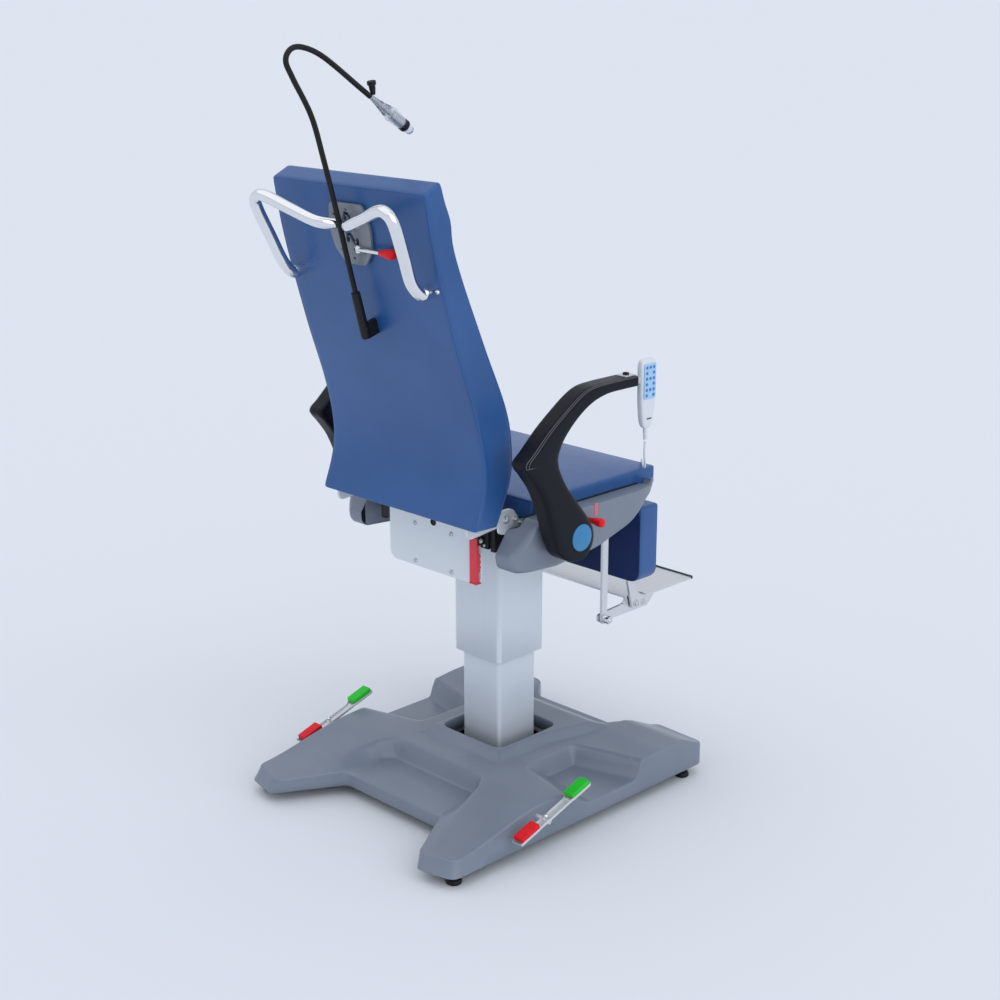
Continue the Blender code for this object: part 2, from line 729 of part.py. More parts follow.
def build_base_frame():
    """Steel plate with an arm to each foot and an upright bearing for each pedal shaft."""
    bearing_end = BEARING_X + BEARING_WIDTH
    low_y = PEDAL_PIVOT[0] - BEARING_HALF_Y
    high_y = PEDAL_PIVOT[0] + BEARING_HALF_Y
    half = [(BASE_FRAME_HALF - 2 * BASE_ARM_HALF, BASE_FRAME_REAR_Y),
            (FOOT_REAR[0] - 2 * BASE_ARM_HALF, FOOT_REAR[1] - BASE_ARM_HALF / 2),
            (FOOT_REAR[0] - BASE_ARM_HALF, FOOT_REAR[1] + BASE_ARM_END),
            (FOOT_REAR[0] + BASE_ARM_END, FOOT_REAR[1] + BASE_ARM_END),
            (FOOT_REAR[0] + BASE_ARM_END, FOOT_REAR[1] - BASE_ARM_HALF),
            (BASE_FRAME_HALF + 3 * BASE_ARM_HALF, high_y), (bearing_end, high_y),
            (bearing_end, low_y), (BASE_FRAME_HALF, low_y),
            (BASE_FRAME_HALF, BASE_FRAME_FRONT_Y + 2 * BASE_ARM_HALF),
            (FOOT_FRONT[0] + BASE_ARM_HALF, FOOT_FRONT[1] + BASE_ARM_HALF),
            (FOOT_FRONT[0] + BASE_ARM_HALF, FOOT_FRONT[1] - BASE_ARM_HALF),
            (FOOT_FRONT[0] - BASE_ARM_HALF, FOOT_FRONT[1] - BASE_ARM_HALF),
            (BASE_FRAME_HALF - 3 * BASE_ARM_HALF, BASE_FRAME_FRONT_Y)]
    top = BASE_FRAME_Z + BASE_FRAME_THICK
    frame = as_mesh(plate("base_frame", "base", "dark_steel", "XY", mirrored(half), BASE_FRAME_Z, top))
    for side, sign in SIDES:
        ends = sorted((sign * BEARING_X, sign * bearing_end))
        upright = box(f"pedal_bearing_{side}", "base", None, (ends[0], low_y + RUNNING_GAP, BASE_FRAME_Z),
                      (ends[1], high_y - RUNNING_GAP, PEDAL_PIVOT[1] + BEARING_TOP))
        bore = rod(f"bearing_bore_{side}", "base", None, PEDAL_SHAFT_RADIUS + GAP,
                   (sign * (BEARING_X - RUNNING_GAP), *PEDAL_PIVOT),
                   (sign * (bearing_end + RUNNING_GAP), *PEDAL_PIVOT))
        weld(frame, upright)
        cut(frame, bore)


def build_feet():
    profile = [(0.0, BASE_FRAME_Z - GAP), (FOOT_STEM_RADIUS, BASE_FRAME_Z - GAP),
               (FOOT_STEM_RADIUS, FOOT_HEIGHT), (FOOT_RADIUS * 0.8, FOOT_HEIGHT),
               (FOOT_RADIUS, FOOT_HEIGHT * 0.6), (FOOT_RADIUS, 0.0), (0.0, 0.0)]
    for place, spot in (("front", FOOT_FRONT), ("rear", FOOT_REAR)):
        for side, sign in SIDES:
            at = Vector((sign * spot[0], spot[1], 0.0))
            turned(f"levelling_foot_{place}_{side}", "base", "black_plastic", profile,
                   at, at + Vector((0, 0, 1)), steps=20)


def build_pedal(side, sign):
    """Foot pedal on a stub shaft, whose crank lowers a transport castor."""
    body = f"pedal_{side}"
    pivot = Vector((0.0, *PEDAL_PIVOT))
    forward = Vector((0.0, -math.cos(PEDAL_TILT), math.sin(PEDAL_TILT)))
    upward = Vector((0.0, math.sin(PEDAL_TILT), math.cos(PEDAL_TILT)))
    turn = (-PEDAL_TILT, 0.0, 0.0)

    def tilted_box(name, finish, size, reach, rise):
        centre = pivot + forward * reach + upward * rise + Vector((sign * PEDAL_X, 0, 0))
        half = Vector(size) / 2
        return box(name, body, finish, centre - half, centre + half, bevel=PEDAL_THICK / 4, turn=turn)

    reach = (PEDAL_GREEN_REACH - PEDAL_RED_REACH) / 2
    lever_rise = PEDAL_SHAFT_RADIUS
    lever = tilted_box(f"pedal_lever_{side}", None, (PEDAL_WIDTH, PEDAL_LENGTH, PEDAL_THICK), reach, lever_rise)
    pad_rise = lever_rise + PEDAL_THICK / 2 + PEDAL_PAD[2] / 2 + GAP
    tilted_box(f"pedal_pad_green_{side}", "green_plastic", PEDAL_PAD, PEDAL_GREEN_REACH, pad_rise)
    tilted_box(f"pedal_pad_red_{side}", "red_plastic", PEDAL_PAD, -PEDAL_RED_REACH, pad_rise)

    shaft = rod(f"pedal_shaft_{side}", body, "stainless", PEDAL_SHAFT_RADIUS,
                (sign * BEARING_X, *PEDAL_PIVOT), (sign * (PEDAL_X + PEDAL_WIDTH / 2), *PEDAL_PIVOT))
    axle = (PEDAL_PIVOT[0] + CRANK_REACH[0], PEDAL_PIVOT[1] + CRANK_REACH[1])
    along = Vector(CRANK_REACH).normalized() * CRANK_RADIUS
    across = Vector((-along.y, along.x))
    top = Vector(PEDAL_PIVOT) - along
    low = Vector(axle) + along
    outline = [top + across, top - across, low - across, low + across]
    ends = sorted((sign * CRANK_X, sign * (CRANK_X + CRANK_THICK)))
    crank = as_mesh(plate(f"crank_{side}", body, None, "YZ", rounded([(*p, CRANK_RADIUS / 2) for p in outline]),
                          *ends))
    axle_end = CRANK_X + CRANK_THICK + CASTOR_WIDTH + 2 * RUNNING_GAP
    pin = rod(f"castor_axle_{side}", body, None, CASTOR_AXLE_RADIUS,
              (sign * (CRANK_X + CRANK_THICK / 2), *axle), (sign * axle_end, *axle))
    weld(shaft, lever, crank, pin)

    inner = sign * (CRANK_X + CRANK_THICK + RUNNING_GAP)
    outer = inner + sign * CASTOR_WIDTH
    wheel = rod(f"castor_wheel_{side}", f"castor_{side}", "black_plastic", CASTOR_RADIUS,
                (inner, *axle), (outer, *axle))
    bore = rod(f"castor_bore_{side}", f"castor_{side}", None, CASTOR_AXLE_RADIUS + GAP,
               (inner - sign * RUNNING_GAP, *axle), (outer + sign * RUNNING_GAP, *axle))
    cut(wheel, bore)


def build_column():
    """Square inner tube on the base, outer tube on the seat, a glide ring and the lift actuator."""
    base_top = BASE_FRAME_Z + BASE_FRAME_THICK + GAP
    seat_under = FRAME_PLATE_Z - GAP
    hollow = INNER_HALF - INNER_WALL
    plate("column_inner_tube", "base", "painted_steel", "XY", rounded_square(INNER_HALF, INNER_CORNER),
          base_top, INNER_TOP, holes=[rounded_square(hollow, INNER_CORNER - INNER_WALL)])
    bore = OUTER_HALF - OUTER_WALL
    plate("column_outer_tube", "seat", "painted_steel", "XY", rounded_square(OUTER_HALF, OUTER_CORNER),
          OUTER_BOTTOM, seat_under, holes=[rounded_square(bore, OUTER_CORNER - OUTER_WALL)])
    plate("column_glide_ring", "seat", "black_plastic", "XY",
          rounded_square(bore - GAP, OUTER_CORNER - OUTER_WALL), OUTER_BOTTOM + RUNNING_GAP,
          OUTER_BOTTOM + GLIDE_LENGTH, holes=[rounded_square(INNER_HALF + GAP, INNER_CORNER)])
    rod("lift_actuator_rod", "base", "stainless", LIFT_ROD_RADIUS, (0, 0, base_top), (0, 0, LIFT_ROD_TOP))
    housing = rod("lift_actuator_body", "seat", "dark_steel", LIFT_BODY_RADIUS,
                  (0, 0, LIFT_BODY_BOTTOM), (0, 0, seat_under))
    cut(housing, rod("lift_bore", "seat", None, LIFT_ROD_RADIUS + GAP,
                     (0, 0, LIFT_BODY_BOTTOM - RUNNING_GAP), (0, 0, LIFT_BORE_TOP)))


def link_pivot():
    return (LEG_HINGE[0] + LINK[0], LEG_HINGE[1] + LINK[1])


def build_seat_frame():
    """Two rails with a plate and cross members between them, bored for the leg rest's pivots."""
    rail_low = SEAT_Z - RAIL_HEIGHT
    outer = RAIL_X + RAIL_THICK
    frame = box("seat_frame", "seat", "dark_steel", (-RAIL_X - GAP, FRAME_PLATE_FRONT_Y, FRAME_PLATE_Z),
                (RAIL_X + GAP, REAR_CROSS_Y, FRAME_PLATE_Z + FRAME_PLATE_THICK))
    rear = box("rear_cross", "seat", None, (-RAIL_X - GAP, REAR_CROSS_Y - CROSS_DEPTH / 2, REAR_CROSS_BOTTOM),
               (RAIL_X + GAP, REAR_CROSS_Y + CROSS_DEPTH, REAR_CROSS_TOP))
    front = box("front_cross", "seat", None, (-FRONT_CROSS_HALF, RAIL_FRONT_Y, SEAT_Z - FRONT_CROSS_HEIGHT),
                (FRONT_CROSS_HALF, RAIL_FRONT_Y + CROSS_DEPTH, SEAT_Z - GAP))
    weld(frame, rear, front)
    for side, sign in SIDES:
        ends = sorted((sign * RAIL_X, sign * outer))
        nose_y = LEG_HINGE[0] - RAIL_NOSE
        nose_z = LEG_HINGE[1] - RAIL_NOSE
        rear = REAR_CROSS_Y + CROSS_DEPTH - GAP
        corners = [(nose_y, SEAT_Z), (nose_y, nose_z, RAIL_NOSE * 0.95),
                   (LEG_HINGE[0] + RAIL_NOSE * 3.7, nose_z, 0.005), (RAIL_DROP_Y, rail_low, 0.010),
                   (rear, rail_low), (rear, SEAT_Z)]
        weld(frame, as_mesh(plate(f"rail_{side}", "seat", None, "YZ", rounded(corners), *ends)))
        for name, pivot in (("leg", LEG_HINGE), ("link", link_pivot())):
            cut(frame, rod(f"{name}_hole_{side}", "seat", None, LEG_PIN_RADIUS + GAP,
                           (sign * (RAIL_X - RUNNING_GAP), *pivot), (sign * (outer + RUNNING_GAP), *pivot)))


def build_seat():
    """Seat cushion: flat below, crowned above, sides drawn in a little between the corners."""
    depth = (SEAT_REAR_Y - SEAT_FRONT_Y) / 2
    middle = (SEAT_REAR_Y + SEAT_FRONT_Y) / 2
    draw_in = 0.004

    def shape(u, v, w):
        height = SEAT_THICK + SEAT_CROWN * (1 - u ** 4) * (1 - v ** 4)
        x = u * (SEAT_HALF - draw_in * (1 - v * v))
        y = middle + v * (depth - draw_in * (1 - u * u))
        return (x, y, SEAT_Z + GAP + height * (w + 1) / 2)

    padded("seat_cushion", "seat", "upholstery", (7, 7, 1), shape, edge=0.008)


def build_rear_plate():
    rear = REAR_CROSS_Y + CROSS_DEPTH + GAP
    corners = [(REAR_PLATE_HALF, REAR_PLATE_TOP, RELEASE_THICK), (-REAR_PLATE_HALF, REAR_PLATE_TOP, RELEASE_THICK),
               (-REAR_PLATE_HALF, REAR_PLATE_BOTTOM, REAR_PLATE_CORNER),
               (REAR_PLATE_HALF, REAR_PLATE_BOTTOM, REAR_PLATE_CORNER)]
    plate("rear_plate", "seat", "painted_steel", "XZ", rounded(corners), rear, rear + REAR_PLATE_THICK)


def cover_outline(tip=True):
    """Side view of a side cover, boat-shaped below, with a raised tip in front."""
    corners = [(-0.206, 0.013), (0.165, 0.013, 0.005), (0.183, -0.003, 0.006), (0.226, -0.062, 0.012),
               (0.221, -0.095, 0.022), (0.100, -0.104, 0.150), (-0.030, -0.091, 0.200),
               (-0.130, -0.058, 0.150), (-0.204, -0.006, 0.010)]
    if tip:
        corners += [(-0.224, 0.018, 0.004), (-0.222, 0.030, 0.0035)]
    return rounded([(y, SEAT_Z + rise, *radius) for y, rise, *radius in corners])


def build_side_cover(side, sign):
    """A tray-like plastic shell, open towards the frame, with a rebate for the cushion."""
    ends = sorted((sign * COVER_INNER, sign * COVER_OUTER))
    cover = as_mesh(plate(f"side_cover_{side}", "seat", "moulded_grey", "YZ", cover_outline(), *ends,
                          edge=COVER_EDGE))
    hollow = sorted((sign * (COVER_INNER - COVER_WALL), sign * (COVER_OUTER - COVER_WALL)))
    inside = inset(cover_outline(tip=False), COVER_WALL)
    cut(cover, as_mesh(plate(f"cover_hollow_{side}", "seat", None, "YZ", inside, *hollow)))
    rebate = sorted((0.0, sign * (SEAT_HALF + 2 * RUNNING_GAP)))
    cut(cover, box(f"cushion_rebate_{side}", "seat", None, (rebate[0], SEAT_FRONT_Y, SEAT_Z - RUNNING_GAP),
                   (rebate[1], REAR_CROSS_Y, SEAT_Z + SEAT_THICK)))


def recline_pivot():
    return (RECLINE_Y, SEAT_Z + RECLINE_RISE)


def build_recline():
    """Hinge brackets and gear motor on the seat; shaft and arms under the backrest."""
    pivot = recline_pivot()
    bore = RECLINE_SHAFT_RADIUS + GAP
    foot_z = SEAT_Z - RAIL_HEIGHT / 2
    for side, sign in SIDES:
        corners = [(pivot[0] + BRACKET_RADIUS, pivot[1] + BRACKET_RADIUS, BRACKET_RADIUS * 0.9),
                   (pivot[0] - BRACKET_RADIUS, pivot[1] + BRACKET_RADIUS, BRACKET_RADIUS * 0.9),
                   (SEAT_REAR_Y + 0.010, SEAT_Z - RUNNING_GAP), (BRACKET_FOOT_Y, SEAT_Z - RUNNING_GAP, 0.004),
                   (BRACKET_FOOT_Y, foot_z, 0.004),
                   (pivot[0] + BRACKET_RADIUS, SEAT_Z - BRACKET_RADIUS, 0.010)]
        ends = sorted((sign * BRACKET_X, sign * (BRACKET_X + BRACKET_THICK)))
        bracket = as_mesh(plate(f"hinge_bracket_{side}", "seat", "stainless", "YZ", rounded(corners), *ends,
                                holes=[circle(pivot, bore)]))
        boss = sorted((sign * (RAIL_X + RAIL_THICK + GAP), sign * (BRACKET_X + GAP)))
        weld(bracket, box(f"bracket_boss_{side}", "seat", None, (boss[0], BRACKET_FOOT_Y + 0.004, foot_z + 0.004),
                          (boss[1], BRACKET_FOOT_Y + 0.036, SEAT_Z - 0.006)))
        start, end = BACK_FRONT[0], BACK_REAR[0]
        slope = (end[1] - start[1]) / (end[0] - start[0])

        def under(y):
            return SEAT_Z + start[1] + slope * (y - start[0]) - GAP

        arm = [(pivot[0] - 0.014, pivot[1] + 0.013, 0.012), (pivot[0] - 0.014, pivot[1] - 0.014, 0.012),
               (BACK_ARM_REAR_Y, under(BACK_ARM_REAR_Y) - BACK_ARM_DEPTH, 0.012),
               (BACK_ARM_REAR_Y, under(BACK_ARM_REAR_Y)), (start[0] - 0.006, under(start[0] - 0.006)),
               (pivot[0] + 0.020, pivot[1] + 0.010, 0.004)]
        ends = sorted((sign * BACK_ARM_X, sign * (BACK_ARM_X + BACK_ARM_THICK)))
        plate(f"backrest_arm_{side}", "backrest", "dark_steel", "YZ", rounded(arm), *ends,
              holes=[circle(pivot, bore)])
    end = BRACKET_X + BRACKET_THICK
    rod("recline_shaft", "backrest", "stainless", RECLINE_SHAFT_RADIUS, (-end, *pivot), (end, *pivot))
    top = REAR_PLATE_TOP + RUNNING_GAP
    motor = rod("recline_gearmotor", "seat", "dark_steel", MOTOR_RING, (-MOTOR_HALF, *pivot), (MOTOR_HALF, *pivot))
    case = box("motor_case", "seat", None, (-MOTOR_HALF, MOTOR_FRONT_Y, FRAME_PLATE_Z + FRAME_PLATE_THICK + GAP),
               (MOTOR_HALF, REAR_CROSS_Y - CROSS_DEPTH / 2 - GAP, pivot[1]))
    weld(motor, case)
    cut(motor, rod("motor_bore", "seat", None, bore, (-end, *pivot), (end, *pivot)))
    cut(motor, box("motor_relief", "seat", None,
                   (-end, REAR_CROSS_Y - CROSS_DEPTH / 2 - GAP, REAR_CROSS_BOTTOM), (end, NECK_REAR_Y, top)))


def back_side(points, t):
    """A point of the backrest's side profile, from 0 at the bottom to 1 at the top."""
    samples = [Vector((0.0, y, SEAT_Z + rise)) for y, rise in points]
    ends = [2 * samples[0] - samples[1], *samples, 2 * samples[-1] - samples[-2]]
    place = min(t * (len(samples) - 1), len(samples) - 1 - 1e-9)
    i = int(place)
    f = place - i
    p0, p1, p2, p3 = ends[i:i + 4]
    return 0.5 * (2 * p1 + (p2 - p0) * f + (2 * p0 - 5 * p1 + 4 * p2 - p3) * f * f
                  + (3 * p1 - p0 - 3 * p2 + p3) * f ** 3)


def back_at(points, rise):
    """Depth of a backrest face at a height above the seat frame, by halving."""
    low, high = 0.0, 1.0
    for _ in range(30):
        middle = (low + high) / 2
        if back_side(points, middle).z < SEAT_Z + rise:
            low = middle
        else:
            high = middle
    return back_side(points, low).y


def back_tilt(points, rise, step=0.02):
    """Lean of a backrest face from the vertical at a height."""
    return math.atan2(back_at(points, rise + step) - back_at(points, rise - step), 2 * step)


def build_backrest():
    """S-curved backrest cushion with a slot for the head pad's guide."""

    def shape(u, v, w):
        t = (v + 1) / 2
        half = BACK_BOTTOM_HALF + (BACK_TOP_HALF - BACK_BOTTOM_HALF) * t
        front = back_side(BACK_FRONT, t)
        rear = back_side(BACK_REAR, t)
        point = front.lerp(rear, (w + 1) / 2)
        swell = BACK_CROWN * (1 - u ** 4) * (1 - v ** 6)
        point.y += swell * (w if w < 0 else 0.0)
        return (u * half, point.y, point.z)

    cushion = padded("backrest_cushion", "backrest", "upholstery", (5, 17, 1), shape, edge=0.007)
    tilt = back_tilt(BACK_REAR, HEAD_PAD_RISE)
    half = HEAD_GUIDE_HALF + GAP
    reach = HEAD_GUIDE_HEIGHT / 2 + HEAD_TRAVEL + 4 * RUNNING_GAP
    middle = SEAT_Z + HEAD_PAD_RISE
    slot = box("guide_slot", "backrest", None, (-half, back_at(BACK_FRONT, HEAD_PAD_RISE) - 0.05, middle - reach),
               (half, back_at(BACK_REAR, HEAD_PAD_RISE) + 0.05, middle + reach), turn=(-tilt, 0, 0))
    cut(cushion, slot)


def build_head_pad():
    """Small head cushion on the backrest's front, with a guide bar through the slot."""
    seat = Vector((0.0, back_at(BACK_FRONT, HEAD_PAD_RISE), SEAT_Z + HEAD_PAD_RISE))

    def shape(u, v, w):
        rise = HEAD_PAD_RISE + v * HEAD_PAD_HEIGHT / 2
        tilt = back_tilt(BACK_FRONT, rise)
        thick = HEAD_PAD_THICK + HEAD_PAD_CROWN * (1 - u ** 4) * (1 - v ** 4)
        lift = HEAD_STAND_OFF + thick * (w + 1) / 2
        return (u * HEAD_PAD_HALF, back_at(BACK_FRONT, rise) - lift * math.cos(tilt),
                SEAT_Z + rise + lift * math.sin(tilt))

    padded("head_pad", "head_pad", "upholstery", (5, 4, 1), shape, edge=0.010)
    rear_tilt = back_tilt(BACK_REAR, HEAD_PAD_RISE)
    rear = back_at(BACK_REAR, HEAD_PAD_RISE) - HEAD_GUIDE_HALF
    front = seat.y - HEAD_STAND_OFF + 2 * RUNNING_GAP
    box("head_pad_guide", "head_pad", "stainless",
        (-HEAD_GUIDE_HALF, front, seat.z - HEAD_GUIDE_HEIGHT / 2),
        (HEAD_GUIDE_HALF, rear, seat.z + HEAD_GUIDE_HEIGHT / 2), turn=(-rear_tilt, 0, 0))


def back_frame(rise):
    """A point on the backrest's rear face, with its upward and rearward directions."""
    tilt = back_tilt(BACK_REAR, rise)
    point = Vector((0.0, back_at(BACK_REAR, rise), SEAT_Z + rise))
    return point, Vector((0, math.sin(tilt), math.cos(tilt))), Vector((0, math.cos(tilt), -math.sin(tilt)))


def build_push_handles():
    """Two bent chrome tubes from the plate over to the backrest's edge."""
    for side, sign in SIDES:
        root, _, rearward = back_frame(HANDLE_ROUTE[0][2])
        start = root + rearward * (PLATE_THICK + 3 * GAP + RUNNING_GAP)
        bend = start + rearward * HANDLE_RADIUS
        route = [(sign * HANDLE_INNER_X, start.y, start.z), (sign * HANDLE_INNER_X, bend.y, bend.z)]
        for x, depth, rise in HANDLE_ROUTE:
            route.append((sign * x, back_at(BACK_REAR, rise) + depth, SEAT_Z + rise))
        foot, _, rearward = back_frame(HANDLE_FOOT[1])
        foot.x = sign * HANDLE_FOOT[0]
        route += [foot + rearward * lift for lift in (2 * HANDLE_RADIUS, HANDLE_RADIUS, -HANDLE_SOCKET)]
        tube(f"push_handle_{side}", "backrest", "chrome", HANDLE_RADIUS, route, step=0.014)
        socket = rod(f"handle_socket_{side}", "backrest", None, HANDLE_RADIUS + GAP,
                     foot - rearward * (HANDLE_SOCKET + GAP), foot + rearward * HANDLE_RADIUS)
        cut(bpy.data.objects["backrest_cushion"], socket)


def build_headrest_plate():
    """Plate behind the head end, and the clamping lever with its red knob."""
    root, upward, rearward = back_frame(PLATE_RISE)
    tilt = back_tilt(BACK_REAR, PLATE_RISE)
    top = PLATE_HEIGHT / 2
    half = [(PLATE_TOP_HALF, top, 0.010), (PLATE_HALF, 0.2 * top, 0.03),
            (PLATE_HALF * 0.9, -0.5 * top, 0.03), (PLATE_FOOT_HALF, -top, 0.014)]
    centre = root + rearward * (PLATE_THICK / 2 + 2 * GAP)
    plate("headrest_plate", "backrest", "painted_steel", "XZ", rounded(mirrored(half)),
          -PLATE_THICK / 2, PLATE_THICK / 2, tilt=tilt, offset=centre)
    face = root + upward * LEVER_DROP + rearward * (PLATE_THICK + 3 * GAP) + Vector((LEVER_X, 0, 0))
    hub = rod("headrest_lever", "headrest_lever", "stainless", LEVER_HUB_RADIUS, face,
              face + rearward * (LEVER_OFFSET - LEVER_RADIUS))
    axis = face + rearward * (LEVER_OFFSET / 2)
    stem_end = axis + Vector((-LEVER_LENGTH, 0, 0))
    weld(hub, rod("lever_stem", "headrest_lever", None, LEVER_RADIUS, axis, stem_end, sides=16))
    knob = [(0.0, LEVER_KNOB_LENGTH), (LEVER_KNOB_RADIUS * 0.7, LEVER_KNOB_LENGTH * 0.98),
            (LEVER_KNOB_RADIUS, LEVER_KNOB_LENGTH * 0.8), (LEVER_RADIUS * 1.3, GAP), (0.0, GAP)]
    turned("headrest_lever_knob", "headrest_lever", "red_plastic", knob, stem_end,
           stem_end + Vector((-1, 0, 0)), steps=20)
    return face


def lamp_axis():
    start = Vector((0.0, *NECK_ROUTE[-1]))
    return start, (Vector((0.0, *LAMP_TIP)) - start).normalized()


def build_lamp():
    """Holder, sleeve and flexible neck on the backrest; the lamp head turns on the neck's end."""
    foot = Vector((0.0, *SLEEVE_FOOT))
    top = Vector((0.0, *SLEEVE_TOP))
    way = (top - foot).normalized()
    middle = foot + way * HOLDER_RISE
    root, upward, rearward = back_frame(middle.z - SEAT_Z)
    tilt = back_tilt(BACK_REAR, middle.z - SEAT_Z)
    reach = (middle - root).dot(rearward) + SLEEVE_RADIUS / 2
    centre = root + rearward * (reach - HOLDER_SOCKET) / 2
    half = Vector((HOLDER_HALF, (reach + HOLDER_SOCKET) / 2, HOLDER_HEIGHT / 2))
    holder = box("lamp_holder", "backrest", "black_plastic", centre - half, centre + half, turn=(-tilt, 0, 0))
    half += Vector((GAP, GAP, GAP))
    pocket = box("holder_pocket", "backrest", None, centre - half, centre + half, turn=(-tilt, 0, 0))
    cut(bpy.data.objects["backrest_cushion"], pocket)
    weld(holder, rod("lamp_sleeve", "backrest", None, SLEEVE_RADIUS, foot, top, sides=20))
    start, out = lamp_axis()
    neck = [top + way * GAP, top + way * 0.02] + [Vector((0.0, *point)) for point in NECK_ROUTE[:-1]]
    neck += [start - out * 0.030, start - out * 0.015, start]
    tube("lamp_neck", "backrest", "black_plastic", NECK_RADIUS, neck, step=0.022)
    length = LAMP_BODY_LENGTH
    profile = [(0.0, length), (LAMP_LENS_RADIUS, length), (LAMP_LENS_RADIUS, length * 0.93),
               (LAMP_RADIUS * 0.86, length * 0.86), (LAMP_RADIUS, length * 0.66), (LAMP_RADIUS * 0.9, length * 0.45),
               (LAMP_NECK_RADIUS, length * 0.06), (LAMP_NECK_RADIUS, GAP), (0.0, GAP)]
    head = turned("lamp_head", "lamp_head", "chrome", profile, start, start + out)
    tip = (Vector((0.0, *LAMP_TIP)) - start).length
    lens = [(0.0, tip), (LAMP_LENS_RADIUS * 0.7, tip - 0.002), (LAMP_LENS_RADIUS * 0.94, tip - 0.007),
            (LAMP_LENS_RADIUS * 0.94, length + GAP), (0.0, length + GAP)]
    turned("lamp_lens", "lamp_head", "clear_lens", lens, start, start + out)
    stand = Vector(LAMP_KNOB_WAY).normalized()
    seat = start + out * LAMP_KNOB_AT + stand * LAMP_KNOB_SOCKET
    cut(head, rod("knob_socket", "lamp_head", None, LAMP_KNOB_RADIUS * 0.5 + GAP, seat,
                  seat + stand * LAMP_KNOB_HEIGHT, sides=16))
    knob = [(0.0, LAMP_KNOB_HEIGHT), (LAMP_KNOB_RADIUS * 0.7, LAMP_KNOB_HEIGHT - 0.002),
            (LAMP_KNOB_RADIUS, LAMP_KNOB_HEIGHT - 0.008), (LAMP_KNOB_RADIUS * 0.5, 0.016),
            (LAMP_KNOB_RADIUS * 0.5, GAP), (0.0, GAP)]
    turned("lamp_knob", "lamp_head", "black_plastic", knob, seat, seat + stand, steps=16)


def build_legrest():
    """Leg pad on two side frames, parallel bars behind it, and the gear motor on their shaft."""
    hinge_y, hinge_z = LEG_HINGE
    top = hinge_z - LEG_PAD_TOP
    rear = hinge_y + LEG_PAD_REAR

    def shape(u, v, w):
        height = LEG_PAD_LENGTH / 2
        z = top - height + v * height
        corner = max(0.0, -v) ** 6 * abs(u) ** 6 * LEG_PAD_CORNER * 0.3
        swell = LEG_PAD_CROWN * (1 - u ** 4) * (1 - v ** 4) * (1 + w) / 2
        x = u * (LEG_PAD_HALF - corner) * (1 - 0.006 * (1 - v * v))
        return (x, rear - LEG_PAD_THICK * (w + 1) / 2 - swell, z + corner)

    pad = padded("legrest_pad", "legrest", "upholstery", (9, 7, 1), shape, edge=0.007)
    foot = (hinge_y, hinge_z - LEG_LENGTH)
    back = hinge_y + LEG_FRAME_BACK
    link = link_pivot()
    link_foot = (link[0], link[1] - LEG_LENGTH)
    for side, sign in SIDES:
        ends = sorted((sign * LEG_FRAME_X, sign * (LEG_FRAME_X + LEG_FRAME_THICK)))
        eye = LEG_EYE_RADIUS
        corners = [(hinge_y - eye, hinge_z + eye, eye * 0.9), (hinge_y - eye, top + 0.003, 0.002), (back, top + 0.003),
                   (back, top - LEG_PAD_LENGTH - 0.003), (foot[0] - eye, foot[1] + 0.02, 0.004),
                   (foot[0] - eye, foot[1] - eye, eye * 0.9), (foot[0] + eye, foot[1] - eye, eye * 0.9),
                   (back + LEG_FRAME_DEPTH, top - LEG_PAD_LENGTH - 0.003, 0.02),
                   (back + LEG_FRAME_DEPTH, top, 0.02), (hinge_y + eye, hinge_z + eye, eye * 0.9)]
        frame = as_mesh(plate(f"legrest_frame_{side}", "legrest", "stainless", "YZ", rounded(corners), *ends))
        cut(pad, box(f"frame_slot_{side}", "legrest", None, (ends[0] - GAP, back - GAP, top - 1.2 * LEG_PAD_LENGTH),
                     (ends[1] + GAP, rear + LEG_PAD_THICK, top + LEG_PAD_TOP)))
        inner = sign * RAIL_X
        weld(frame, rod(f"leg_stud_{side}", "legrest", None, LEG_PIN_RADIUS, (inner, *LEG_HINGE),
                        (sign * (LEG_FRAME_X + LEG_FRAME_THICK / 2), *LEG_HINGE)))
        inner = sign * (FOOT_PLATE_NECK_HALF - GUSSET_THICK)
        weld(frame, rod(f"foot_stud_{side}", "legrest", None, LEG_PIN_RADIUS, (inner, *foot),
                        (sign * (LEG_FRAME_X + LEG_FRAME_THICK / 2), *foot)))
        bar = LEG_BAR_HALF
        corners = [(link[0] - bar, link[1] + 1.4 * bar, bar * 0.9), (link[0] - bar, link_foot[1] - 1.4 * bar, bar * 0.9),
                   (link[0] + bar, link_foot[1] - 1.4 * bar, bar * 0.9), (link[0] + bar, link[1] + 1.4 * bar, bar * 0.9)]
        arm = as_mesh(plate(f"legrest_bar_{side}", "legrest_bars", "stainless", "YZ", rounded(corners), *ends,
                            holes=[circle(link, LEG_PIN_RADIUS + GAP)]))
        weld(arm, rod(f"link_stud_{side}", "legrest_bars", None, LEG_PIN_RADIUS, (inner, *link_foot),
                      (sign * (LEG_FRAME_X + LEG_FRAME_THICK / 2), *link_foot)))
    end = LEG_FRAME_X + LEG_FRAME_THICK
    rod("legrest_shaft", "legrest_bars", "stainless", LEG_PIN_RADIUS, (-end, *link), (end, *link))
    motor = rod("legrest_gearmotor", "seat", "dark_steel", LEG_MOTOR_RING, (-LEG_MOTOR_HALF, *link),
                (LEG_MOTOR_HALF, *link))
    weld(motor, rod("leg_motor_case", "seat", None, LEG_MOTOR_RING * 0.8, (0, *link), (0, LEG_MOTOR_FRONT_Y, link[1])))
    cut(motor, rod("leg_motor_bore", "seat", None, LEG_PIN_RADIUS + GAP, (-end, *link), (end, *link)))


